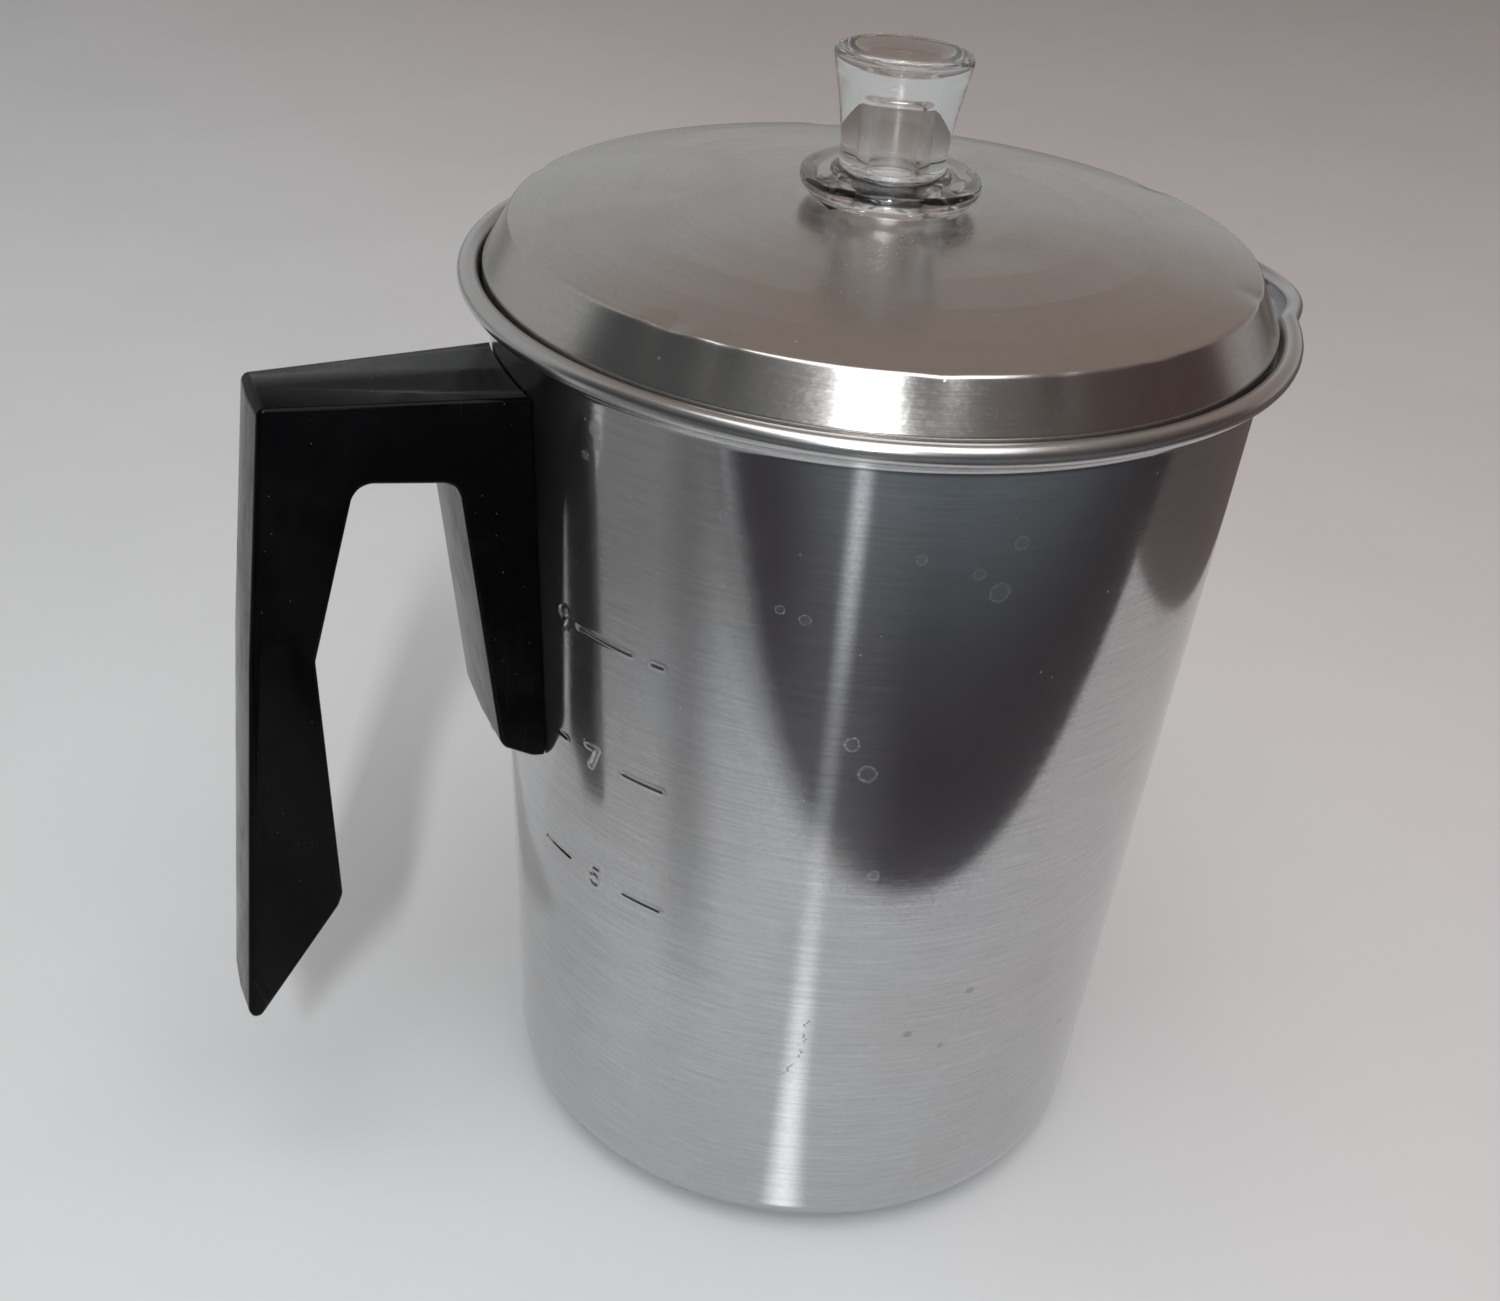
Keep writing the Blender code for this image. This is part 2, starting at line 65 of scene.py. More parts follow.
RIM_R = -POT_LOW.x  # outside of the rolled rim
BEAD_R = 1.75
BEAD_Z = POT_HIGH.z - BEAD_R
BASE_R = 57.3
CORNER_R = 9.5
NECK_R = 64.82
NECK_Z = 159.5
WALL_TOP_Z = 162.4  # the wall turns out under the rolled rim here
POT_WALL = 1.1
BASE_HOLLOW = 0.45  # the base stands on a ring
LIP_HALF_ANGLE = 28.0
LIP_OUT = POT_HIGH.x - RIM_R
LIP_DROP = 3.7
LIP_LOW_Z = 143.0
GAP = 0.3


def wall_radius(z):
    """Outside radius of the tapered wall."""
    return BASE_R + (NECK_R - BASE_R) * (z - CORNER_R) / (NECK_Z - CORNER_R)


def smooth_step(value):
    value = min(max(value, 0.0), 1.0)
    return value * value * (3.0 - 2.0 * value)


# ---------------------------------------------------------------- profiles


def polar(radius, angle, centre=(0.0, 0.0)):
    """Place at this distance and angle (in radians) from a centre."""
    return (centre[0] + radius * math.cos(angle), centre[1] + radius * math.sin(angle))


def arc(centre, radius, first, last, count):
    """Points on an arc in the (radius, height) plane, angles in degrees from +r."""
    angles = [(first + (last - first) * i / (count - 1)) * DEG for i in range(count)]
    return [polar(radius, a, centre) for a in angles]


def filleted(path, radius, steps=5, closed=False):
    """The path with each corner turned into an arc of about this radius."""
    count = len(path)
    made = []
    for i, point in enumerate(path):
        if not closed and i in (0, count - 1):
            made.append(tuple(point))
            continue
        here = Vector(point)
        back = Vector(path[i - 1]) - here
        ahead = Vector(path[(i + 1) % count]) - here
        bend = math.pi - back.angle(ahead)
        if bend < 2 * DEG:
            made.append(tuple(point))
            continue
        cut = min(radius * math.tan(bend / 2), back.length * 0.45, ahead.length * 0.45)
        start = here + back.normalized() * cut
        end = here + ahead.normalized() * cut
        for k in range(steps + 1):
            t = k / steps
            made.append(tuple(start * (1 - t) ** 2 + here * 2 * t * (1 - t) + end * t * t))
    return made


def flowing(path, pieces):
    """Smooth curve through every point of an open path."""
    points = [Vector(p) for p in path]
    points = [points[0] * 2 - points[1]] + points + [points[-1] * 2 - points[-2]]
    made = []
    for a, b, c, d in zip(points, points[1:], points[2:], points[3:]):
        for k in range(pieces):
            t = k / pieces
            curve = b * 2 + (c - a) * t
            curve += (a * 2 - b * 5 + c * 4 - d) * t**2 + (b * 3 - a - c * 3 + d) * t**3
            made.append(tuple(curve / 2))
    return made + [tuple(points[-2])]


def held(path, near=0.35, longest=7.0, closed=False):
    """Add points close to the ends of long segments, so that smooth shading stays true."""
    made = []
    count = len(path)
    for i in range(count if closed else count - 1):
        a, b = Vector(path[i]), Vector(path[(i + 1) % count])
        made.append(tuple(a))
        length = (b - a).length
        if length < near * 4:
            continue
        stops = [near / length]
        pieces = max(1, round((length - 2 * near) / longest))
        stops += [(near + (length - 2 * near) * k / pieces) / length for k in range(1, pieces)]
        stops.append(1 - near / length)
        made += [tuple(a.lerp(b, t)) for t in stops]
    if not closed:
        made.append(tuple(path[-1]))
    return made


def sheet(path, thickness):
    """Closed profile of a sheet-metal pressing: the path is its outer side, running down."""
    inner = []
    for i, point in enumerate(path):
        sides = []
        for a, b in ((i - 1, i), (i, i + 1)):
            if a >= 0 and b < len(path):
                step = (Vector(path[b]) - Vector(path[a])).normalized()
                sides.append(Vector((step.y, -step.x)))
        normal = sum(sides, Vector((0.0, 0.0))).normalized()
        stretch = 1.0 / max(normal.dot(sides[0]), 0.55)
        inner.append(tuple(Vector(point) + normal * thickness * stretch))

    def cap(outer, inside, away):
        middle = (Vector(outer) + Vector(inside)) / 2
        half = (Vector(outer) - Vector(inside)) / 2
        out = away.normalized() * half.length * 0.6
        return [tuple(middle + half * math.cos(a) + out * math.sin(a)) for a in (0.8, 1.57, 2.34)]

    first = Vector(path[0]) - Vector(path[1])
    last = Vector(path[-1]) - Vector(path[-2])
    end = cap(path[-1], inner[-1], last)
    start = cap(path[0], inner[0], first)[::-1]
    return list(path) + end + inner[::-1] + start


def signed_area(loop):
    """Positive where the closed loop runs anticlockwise."""
    following = loop[1:] + loop[:1]
    return sum(a[0] * b[1] - b[0] * a[1] for a, b in zip(loop, following)) / 2


# ---------------------------------------------------------------- meshes


def linked(data, name):
    """Object of a mesh, light or camera, in the scene."""
    obj = bpy.data.objects.new(name, data)
    bpy.context.scene.collection.objects.link(obj)
    return obj


def smoothed(mesh, sharp):
    """Smooth shading, with corners above this angle kept."""
    for polygon in mesh.polygons:
        polygon.use_smooth = True
    mesh.set_sharp_from_angle(angle=sharp * DEG)
    return mesh


def turned_mesh(name, profile, angles, closed):
    """Turn a (radius, height) profile about Z through a full circle, at the given angles."""
    profile = list(profile)
    if signed_area(profile) < 0:
        profile.reverse()
    verts, rows = [], []
    for r, z in profile:
        if r < 1e-6:
            rows.append([len(verts)] * len(angles))
            verts.append((0.0, 0.0, z * MM))
            continue
        rows.append(list(range(len(verts), len(verts) + len(angles))))
        verts += [(*polar(r * MM, a), z * MM) for a in angles]
    faces = []
    pairs = list(zip(rows, rows[1:]))
    if closed:
        pairs.append((rows[-1], rows[0]))
    for low, high in pairs:
        for i in range(len(angles)):
            j = (i + 1) % len(angles)
            face = []
            for v in (low[i], low[j], high[j], high[i]):
                if v not in face:
                    face.append(v)
            if len(face) > 2:
                faces.append(face)
    mesh = bpy.data.meshes.new(name)
    mesh.from_pydata(verts, [], faces)
    mesh.update()
    return mesh


def points_of(mesh):
    """Each vertex with its place in millimetres."""
    for vertex in mesh.vertices:
        yield (vertex, *(c / MM for c in vertex.co))


def even_angles(steps):
    return [math.tau * i / steps for i in range(steps)]


def turned(name, profile, steps=128, closed=True, sharp=SHARP):
    """Turned object with even steps round it."""
    return linked(smoothed(turned_mesh(name, profile, even_angles(steps), closed), sharp), name)


def bmesh_to_mesh(bm, name):
    """Mesh with all its faces turned outwards."""
    bmesh.ops.recalc_face_normals(bm, faces=bm.faces)
    mesh = bpy.data.meshes.new(name)
    bm.to_mesh(mesh)
    bm.free()
    return mesh


def applied(obj, sharp=SHARP):
    """Bake an object's modifiers into its mesh."""
    graph = bpy.context.evaluated_depsgraph_get()
    graph.update()
    mesh = bpy.data.meshes.new_from_object(obj.evaluated_get(graph))
    obj.modifiers.clear()
    obj.data = smoothed(mesh, sharp)
    return obj


def combined(obj, cutters, operation="DIFFERENCE", sharp=SHARP):
    """Cut (or join) helper meshes, then drop them."""
    for cutter in cutters:
        modifier = obj.modifiers.new(cutter.name, "BOOLEAN")
        modifier.operation = operation
        modifier.solver = "EXACT"
        modifier.object = cutter
    applied(obj, sharp)
    for cutter in cutters:
        bpy.data.objects.remove(cutter, do_unlink=True)
    return obj


def rods(name, places, radius, low, high, sides=12):
    """One mesh of upright rods at (x, y) places."""
    bm = bmesh.new()
    spokes = [polar(radius, a) for a in even_angles(sides)]
    for x, y in places:
        rings = [
            [bm.verts.new(((x + dx) * MM, (y + dy) * MM, z * MM)) for dx, dy in spokes]
            for z in (low, (low + high) / 2, high)
        ]
        for a, b in zip(rings, rings[1:]):
            for i in range(sides):
                j = (i + 1) % sides
                bm.faces.new((a[i], a[j], b[j], b[i]))
        bm.faces.new(rings[0][::-1])
        bm.faces.new(rings[-1])
    return linked(bmesh_to_mesh(bm, name), name)


def soft_box(name, low, high, edge):
    """Box with rounded edges between two corners."""
    bm = bmesh.new()
    bmesh.ops.create_cube(bm, size=1.0)
    size = [(b - a) * MM for a, b in zip(low, high)]
    middle = [(a + b) / 2 * MM for a, b in zip(low, high)]
    place = Matrix.Translation(middle) @ Matrix.Diagonal((*size, 1))
    bmesh.ops.transform(bm, matrix=place, verts=bm.verts)
    if edge:
        bmesh.ops.bevel(
            bm, geom=list(bm.edges), offset=edge * MM, segments=3, affect="EDGES", profile=0.5
        )
    return linked(bmesh_to_mesh(bm, name), name)


def ring_places(rings, turn):
    """(x, y) places on rings, each given as (radius, count) and turned a little by its radius."""
    return [
        polar(radius, math.tau * (i + 0.5) / count + turn * radius * DEG)
        for radius, count in rings for i in range(count)
    ]


# ---------------------------------------------------------------- material building


class Tree:
    """A short way to write procedural nodes: a material, or the world, round one shader."""

    def __init__(self, name, blocks=bpy.data.materials, shader="Principled BSDF", space="Object"):
        self.block = blocks.new(name)
        self.block.use_nodes = True
        self.nodes = self.block.node_tree.nodes
        self.links = self.block.node_tree.links
        self.shader = self.nodes[shader]
        self.place = self.add("ShaderNodeTexCoord").outputs[space]
        axes = self.add("ShaderNodeSeparateXYZ", Vector=self.place)
        self.x, self.y, self.z = axes.outputs

    def add(self, kind, settings=(), **inputs):
        node = self.nodes.new(kind)
        for key, value in dict(settings).items():
            setattr(node, key, value)
        for key, value in inputs.items():
            self.put(node.inputs[key.replace("_", " ")], value)
        return node

    def put(self, socket, value):
        if isinstance(value, bpy.types.NodeSocket):
            self.links.new(value, socket)
            return
        if isinstance(value, tuple) and socket.type == "RGBA":
            value = (*value[:3], 1.0)
        socket.default_value = value

    def math(self, operation, a, b=0.0, c=0.0, clamp=False):
        node = self.add("ShaderNodeMath", {"operation": operation, "use_clamp": clamp})
        for socket, value in zip(node.inputs, (a, b, c)):
            self.put(socket, value)
        return node.outputs[0]

    def times(self, a, b):
        return self.math("MULTIPLY", a, b)

    def plus(self, a, b, clamp=False):
        return self.math("ADD", a, b, clamp=clamp)

    def mul_add(self, a, b, c):
        return self.math("MULTIPLY_ADD", a, b, c)

    def vector(self, x, y, z):
        return self.add("ShaderNodeCombineXYZ", X=x, Y=y, Z=z).outputs[0]

    def scaled(self, vector, factors):
        node = self.add("ShaderNodeVectorMath", {"operation": "MULTIPLY"})
        self.put(node.inputs[0], vector)
        self.put(node.inputs[1], factors)
        return node.outputs[0]

    def noise(self, vector, scale, detail=2.0, roughness=0.5, distortion=0.0):
        node = self.add(
            "ShaderNodeTexNoise", Vector=vector, Scale=scale, Detail=detail, Roughness=roughness,
            Distortion=distortion,
        )
        return node.outputs["Fac"]

    def span(self, value, low, high, to_low=0.0, to_high=1.0, kind="SMOOTHSTEP"):
        node = self.add("ShaderNodeMapRange", {"interpolation_type": kind, "clamp": True})
        for socket, number in zip(node.inputs, (value, low, high, to_low, to_high)):
            self.put(socket, number)
        return node.outputs[0]

    def mix(self, factor, a, b):
        node = self.add("ShaderNodeMix", {"data_type": "RGBA"})
        for index, value in ((0, factor), (6, a), (7, b)):
            self.put(node.inputs[index], value)
        return node.outputs[2]

    def bump(self, height, distance):
        return self.add("ShaderNodeBump", Height=height, Distance=distance, Strength=1.0).outputs[0]

    def cells(self, vector, scale, feature="F1"):
        return self.add("ShaderNodeTexVoronoi", {"feature": feature}, Vector=vector, Scale=scale)

    def finish(self, **inputs):
        for key, value in inputs.items():
            self.put(self.shader.inputs[key.replace("_", " ")], value)
        return self.block


def round_terms(tree):
    """Distance from the Z axis, and a direction that runs round the part without a seam."""
    radius = tree.math("SQRT", tree.mul_add(tree.y, tree.y, tree.times(tree.x, tree.x)))
    safe = tree.math("MAXIMUM", radius, 1e-5)
    return radius, tree.math("DIVIDE", tree.x, safe), tree.math("DIVIDE", tree.y, safe)


def turning_lines(tree, along, ux, uy, per_mm, round_scale):
    """Fine lines left by the lathe: quick change along the profile, slow change round it."""
    across = tree.times(ux, round_scale), tree.times(uy, round_scale)
    return tree.noise(tree.vector(*across, tree.times(along, per_mm / MM)), 1.0, 3.0, 0.6)


def scratches(tree, scale, stretch, turn, cover):
    """Thin straight nicks in one direction, only here and there."""
    narrow = scale * stretch
    laid = tree.add(
        "ShaderNodeMapping", Vector=tree.place, Rotation=turn, Scale=(scale, narrow, narrow)
    )
    edge = tree.cells(laid.outputs[0], 1.0, "DISTANCE_TO_EDGE").outputs["Distance"]
    line = tree.span(edge, 0.0, 0.006, 1.0, 0.0)
    where = tree.span(tree.noise(tree.place, scale * 0.9, 1.0), cover, cover + 0.08)
    return tree.times(line, where)


def specks(tree, scale, inner, outer, share):
    """Small round dots in this share of the cells."""
    cell = tree.cells(tree.place, scale)
    pick = tree.add("ShaderNodeSeparateColor", Color=cell.outputs["Color"])
    dot = tree.span(cell.outputs["Distance"], inner, outer, 1.0, 0.0)
    return tree.times(dot, tree.math("LESS_THAN", pick.outputs[0], share))


def ring_of(tree, away, low, high, film):
    """Dried ring about 1 away from a drop's middle, with a thin film inside it."""
    ring = tree.times(tree.span(away, *low), tree.span(away, *high, 1.0, 0.0))
    return tree.plus(ring, tree.span(away, film, 1.05, 0.35, 0.0), clamp=True)


def water_spots(tree, scale, share):
    """Pale dried rings of different sizes, a few on the whole surface."""
    cell = tree.cells(tree.place, scale)
    value = tree.add("ShaderNodeSeparateColor", Color=cell.outputs["Color"])
    size = tree.span(value.outputs[0], 0.0, 1.0, 0.05, 0.17, "LINEAR")
    wobble = tree.span(tree.noise(tree.place, scale * 3.0), 0.3, 0.7, -0.03, 0.03, "LINEAR")
    away = tree.math("DIVIDE", tree.plus(cell.outputs["Distance"], wobble), size)
    there = tree.math("LESS_THAN", value.outputs[1], share)
    return tree.times(ring_of(tree, away, (0.62, 0.9), (0.92, 1.12), 0.8), there)


# Dried drops on the wall: (angle, height, radius)
WALL_RINGS = (
    (263.2, 142.5, 1.7), (260.0, 145.8, 1.0), (265.0, 150.8, 1.1), (248.9, 109.2, 1.6),
    (246.1, 114.7, 1.3), (237.8, 136.3, 0.9), (234.3, 137.3, 0.8), (251.9, 148.3, 0.8),
    (226.0, 151.0, 1.0), (30.0, 120.0, 1.8), (75.0, 60.0, 2.2), (110.0, 140.0, 1.5),
    (325.0, 90.0, 1.6),
)
WALL_PATCHES = ((205.2, 157.6, 1.6), (206.0, 155.4, 1.2), (203.4, 152.6, 1.1), (40.0, 100.0, 1.4))
WALL_STAINS = (
    (272.1, 60.1, 0.9), (268.5, 47.9, 0.8), (262.0, 52.0, 1.0), (50.0, 40.0, 1.2),
    (300.0, 38.0, 0.9),
)
CRACK_ANGLE, CRACK_LOW_Z, CRACK_HIGH_Z = 243.8, 41.0, 56.0
RIM_DULL_Z = (162.6, 164.2)  # the rolled rim above this is rubbed dull and smooth
LINE_DEPTH = 0.01 * MM


def on_wall(angle, height):
    """Place on the outside of the wall, in metres."""
    return (*polar(wall_radius(height) * MM, angle * DEG), height * MM)


def nearest_drop(tree, drops):
    """Distance to the nearest drop's middle, as a share of that drop's radius."""
    nearest = 9.0
    for angle, height, radius in drops:
        gap = tree.add("ShaderNodeVectorMath", {"operation": "DISTANCE"})
        tree.put(gap.inputs[0], tree.place)
        tree.put(gap.inputs[1], on_wall(angle, height))
        share = tree.math("DIVIDE", gap.outputs["Value"], radius * MM)
        nearest = tree.math("MINIMUM", nearest, share)
    wobble = tree.span(tree.noise(tree.place, 350.0), 0.3, 0.7, -0.14, 0.14, "LINEAR")
    return tree.plus(nearest, wobble)


def dried_drops(tree):
    """The rings and the filled patches."""
    rings = ring_of(tree, nearest_drop(tree, WALL_RINGS), (0.66, 0.86), (0.96, 1.14), 0.85)
    patches = tree.span(nearest_drop(tree, WALL_PATCHES), 0.6, 1.05, 0.9, 0.0)
    return tree.math("MAXIMUM", rings, patches)


def hair_crack(tree):
    """One fine broken line low on the front of the wall, as on the real pot."""
    angle, low, high = CRACK_ANGLE * DEG, CRACK_LOW_Z * MM, CRACK_HIGH_Z * MM
    across = tree.times(tree.x, -math.sin(angle))
    across = tree.mul_add(tree.y, math.cos(angle), across)
    # It leans more in its lowest 6 mm, and wavers all the way
    lean = tree.span(tree.z, low, low + 6 * MM, -2.6 * MM, 0.2 * MM)
    lean = tree.plus(lean, tree.span(tree.z, low + 6 * MM, high, 0.0, 0.8 * MM))
    sway = tree.noise(tree.vector(0.0, 0.0, tree.z), 620.0, 3.0, 0.65)
    lean = tree.plus(lean, tree.span(sway, 0.25, 0.75, -1.1 * MM, 1.1 * MM, "LINEAR"))
    off = tree.math("ABSOLUTE", tree.math("SUBTRACT", across, lean))
    line = tree.span(off, 0.06 * MM, 0.2 * MM, 1.0, 0.0)
    above, below = tree.span(tree.z, low, low + MM), tree.span(tree.z, high - MM, high, 1.0, 0.0)
    inside = tree.times(tree.times(above, below), tree.math("LESS_THAN", tree.y, 0.0))
    broken = tree.span(tree.noise(tree.place, 900.0, 1.0), 0.40, 0.52)
    return tree.times(tree.times(line, inside), broken)


def shaded(colour, share):
    """The colour made darker, or lighter where the share is over 1."""
    return tuple(min(1.0, c * share) for c in colour)


def aluminium(
    name, colour=(0.50, 0.505, 0.515), warm=(0.49, 0.465, 0.45), roughness=0.085, stretch=0.35,
    along="z", line_depth=0.5, coat=0.66, coat_roughness=0.40, grime=0.5, pitted=0.5, wall=False,
):
    """Drawn or spun aluminium: lathe lines round Z, haze, nicks and flecks.
    The pot's wall also has stronger lines, dried drops, stains, a crack and a dull smooth rim."""
    tree = Tree(name)
    radius, ux, uy = round_terms(tree)
    reach = {"z": tree.z, "r": tree.math("SUBTRACT", radius, tree.z)}[along]
    rim = tree.span(tree.z, RIM_DULL_Z[0] * MM, RIM_DULL_Z[1] * MM) if wall else 0.0
    calm = tree.mul_add(rim, -0.94, 1.0)
    haze = tree.noise(tree.place, 28.0, 4.0, 0.62, 0.6)
    cloud = tree.noise(tree.place, 90.0, 3.0, 0.6)
    fine = tree.times(turning_lines(tree, reach, ux, uy, 7.0, 2.6), calm)
    broad = tree.times(turning_lines(tree, reach, ux, uy, 0.9, 1.4), calm)
    grain = tree.times(tree.noise(tree.place, 1300.0, 2.0, 0.7), calm)
    fleck = tree.times(specks(tree, 420.0, 0.05, 0.12, 0.09), calm)
    hairs = tree.times(scratches(tree, 130.0, 0.10, (1.1, 0.2, 2.2), 0.60), 0.6)
    marks = tree.math("MAXIMUM", scratches(tree, 55.0, 0.16, (0.3, 0.5, 0.9), 0.56), hairs)

    tone = tree.mix(tree.span(haze, 0.42, 0.66, 0.0, grime), colour, warm)
    for mark, low, high, most, shade in (
        (cloud, 0.5, 0.75, 0.16, 0.74), (broad, 0.3, 0.7, 0.14, 1.3),
        (fine, 0.3, 0.7, 0.10, 0.7), (grain, 0.35, 0.7, 0.16, 0.62),
    ):
        tone = tree.mix(tree.span(mark, low, high, 0.0, most), tone, shaded(colour, shade))
    rough = roughness
    for mark, low, high, least, most in (
        (haze, 0.35, 0.7, -0.01, 0.03), (fine, 0.3, 0.7, -0.02, 0.02), (grain, 0.4, 0.75, 0.0, 0.05)
    ):
        rough = tree.plus(rough, tree.span(mark, low, high, least, most))
    rough = tree.mul_add(fleck, 0.25, rough)
    coat_rough = tree.plus(coat_roughness, tree.span(haze, 0.35, 0.7, -0.02, 0.05))
    coat_weight = tree.mul_add(fleck, 0.4, coat)
    if wall:
        hatch = tree.times(turning_lines(tree, reach, ux, uy, 2.3, 5.0), calm)
        tone = tree.mix(tree.span(hatch, 0.42, 0.75, 0.0, 0.30), tone, shaded(colour, 0.6))
        tone = tree.mix(tree.span(hatch, 0.45, 0.25, 0.0, 0.16), tone, (0.80, 0.81, 0.82))
        rings = tree.times(water_spots(tree, 120.0, 0.20), 0.3)
        rings = tree.math("MAXIMUM", rings, tree.times(dried_drops(tree), 0.62))
        tone = tree.mix(tree.times(rings, 0.5), tone, (0.72, 0.78, 0.80))
        rough = tree.mul_add(rings, 0.25, rough)
        coat_weight = tree.mul_add(rings, 0.3, coat_weight)
        crack = hair_crack(tree)
        tone = tree.mix(tree.times(crack, 0.8), tone, (0.05, 0.05, 0.055))
        marks = tree.math("MAXIMUM", marks, crack)
        stain = tree.span(nearest_drop(tree, WALL_STAINS), 0.5, 1.1, 0.55, 0.0)
        tone = tree.mix(stain, tone, (0.27, 0.22, 0.19))
        rough = tree.mul_add(rim, 0.17, rough)
        tone = tree.mix(tree.times(rim, 0.5), tone, (0.46, 0.45, 0.42))
    height = tree.mul_add(broad, 1.2, fine)
    height = tree.math("SUBTRACT", height, tree.times(marks, 0.35))
    height = tree.math("SUBTRACT", height, tree.times(fleck, pitted / line_depth))
    normal = tree.bump(height, LINE_DEPTH * line_depth)
    tangent = tree.vector(tree.times(uy, -1.0), ux, 0.0)
    return tree.finish(
        Base_Color=tone, Metallic=1.0, Roughness=rough, Normal=normal, Anisotropic=stretch,
        Anisotropic_Rotation=0.25, Tangent=tangent, Coat_Weight=coat_weight, Coat_IOR=1.9,
        Coat_Roughness=coat_rough, Coat_Normal=normal,
    )


def bakelite():
    """Black moulded phenolic: glossy, faintly wavy, with fine rub marks and a little dust."""
    tree = Tree("black_bakelite")
    wave = tree.noise(tree.place, 120.0)
    rub = tree.noise(tree.scaled(tree.place, (900.0, 900.0, 120.0)), 1.0, 3.0, 0.6)
    worn = tree.noise(tree.place, 60.0, 4.0, 0.65, 0.4)
    nicks = scratches(tree, 90.0, 0.14, (0.7, 0.2, 0.4), 0.57)
    dust = specks(tree, 900.0, 0.06, 0.14, 0.05)
    black, rubbed = (0.0010, 0.0010, 0.0012), (0.0036, 0.0033, 0.0040)
    tone = tree.mix(tree.span(worn, 0.45, 0.7, 0.0, 0.6), black, rubbed)
    tone = tree.mix(tree.times(nicks, 0.08), tone, (0.10, 0.10, 0.10))
    tone = tree.mix(tree.times(dust, 0.35), tone, (0.20, 0.20, 0.19))
    rough = tree.plus(0.13, tree.span(worn, 0.4, 0.7, 0.0, 0.12))
    rough = tree.plus(rough, tree.span(rub, 0.4, 0.65, 0.0, 0.05))
    height = tree.mul_add(rub, 0.04, wave)
    normal = tree.bump(tree.math("SUBTRACT", height, tree.times(nicks, 0.05)), 0.08 * MM)
    return tree.finish(
        Base_Color=tone, Roughness=rough, IOR=1.45, Specular_IOR_Level=0.11, Normal=normal
    )


def see_through(tree, shader_node, operation, factor=None):
    """Put a shader together with clear, by addition or by a factor."""
    clear = tree.add("ShaderNodeBsdfTransparent")
    both = tree.add(operation)
    sockets = list(both.inputs)
    if factor is not None:
        tree.put(sockets.pop(0), factor)
    tree.put(sockets[0], clear.outputs[0])
    tree.put(sockets[1], shader_node.outputs[0])
    tree.put(tree.nodes["Material Output"].inputs["Surface"], both.outputs[0])
    return tree.block


def clear_glass():
    """Pressed clear glass: faint mould lines round it, and a few rub marks."""
    tree = Tree("clear_glass")
    _, ux, uy = round_terms(tree)
    around = tree.vector(tree.times(ux, 1.5), tree.times(uy, 1.5), tree.times(tree.z, 1400.0))
    ripple = tree.noise(around, 1.0, 1.0)
    wave = tree.noise(tree.scaled(tree.place, (90.0, 90.0, 160.0)), 1.0, 1.0)
    rough = tree.times(scratches(tree, 160.0, 0.12, (0.4, 0.9, 0.1), 0.6), 0.10)
    normal = tree.bump(tree.mul_add(wave, 3.0, ripple), 0.0012 * MM)
    tree.finish(
        Base_Color=(0.985, 0.99, 0.985), Roughness=rough, IOR=1.5, Transmission_Weight=1.0,
        Normal=normal,
    )
    return see_through(tree, tree.shader, "ShaderNodeMixShader", 0.92)


def steel(name):
    """Plain steel, grainy and a little stained."""
    tree = Tree(name)
    grain = tree.noise(tree.place, 1500.0, 3.0, 0.6)
    stain = tree.noise(tree.place, 300.0, 3.0, 0.6)
    tone = tree.mix(tree.span(stain, 0.45, 0.7, 0.0, 0.6), (0.56, 0.56, 0.57), (0.36, 0.32, 0.28))
    rough = tree.plus(0.26, tree.span(stain, 0.4, 0.7, 0.0, 0.16))
    normal = tree.bump(grain, 0.01 * MM)
    return tree.finish(Base_Color=tone, Metallic=1.0, Roughness=rough, Normal=normal)


MATERIALS = {
    "pot_aluminium": aluminium("pot_aluminium", line_depth=0.12, wall=True),
    "lid_aluminium": aluminium(
        "lid_aluminium", colour=(0.50, 0.485, 0.465), warm=(0.45, 0.40, 0.355), roughness=0.20,
        stretch=0.4, along="r", line_depth=0.25, coat=0.5, coat_roughness=0.46, grime=0.6,
        pitted=1.4,
    ),
    "basket_aluminium": aluminium(
        "basket_aluminium", roughness=0.30, along="r", grime=0.7, stretch=0.4
    ),
    "pump_aluminium": aluminium("pump_aluminium", roughness=0.28, grime=0.7, stretch=0.4),
    "bracket_aluminium": aluminium("bracket_aluminium", roughness=0.38, grime=0.4, stretch=0.3),
    "rivet_aluminium": aluminium("rivet_aluminium", roughness=0.32, grime=0.4, stretch=0.2),
    "black_bakelite": bakelite(),
    "clear_glass": clear_glass(),
    "screw_steel": steel("screw_steel"),
    "valve_steel": steel("valve_steel"),
}


def dressed(obj, node, body, slot):
    """Material, body and replaced CAD node of a finished piece; the slot picks its material."""
    obj.data.materials.clear()
    obj.data.materials.append(MATERIALS[slot])
    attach(obj, body)
    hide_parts(node)
    return obj


# ---------------------------------------------------------------- pot

MARK_DEPTH = 0.20
STROKE_HALF = 0.22  # half the width of a stamped line
GRID = 0.17  # mesh pitch where the marks are
NUMERAL_HEIGHT = 3.9
MARK_SECTOR = (189.0, 220.0)  # angles that hold the marks
MARK_REACH = 3.4  # the marks of a row lie this near its height
LIP_SECTOR = 30.0
LIP_DROP_Z = 155.0  # the lip bends down above this
# (numeral, height, dashes as first and last angle, numeral's angle)
MARK_ROWS = (
    ("9", 121.2, ((190.8, 193.9), (201.4, 212.2), (215.8, 217.9)), 197.9),
    ("7", 97.2, ((190.6, 198.2), (210.6, 218.3)), 204.2),
    ("5", 71.7, ((190.8, 198.6), (210.8, 218.4)), 204.6),
)


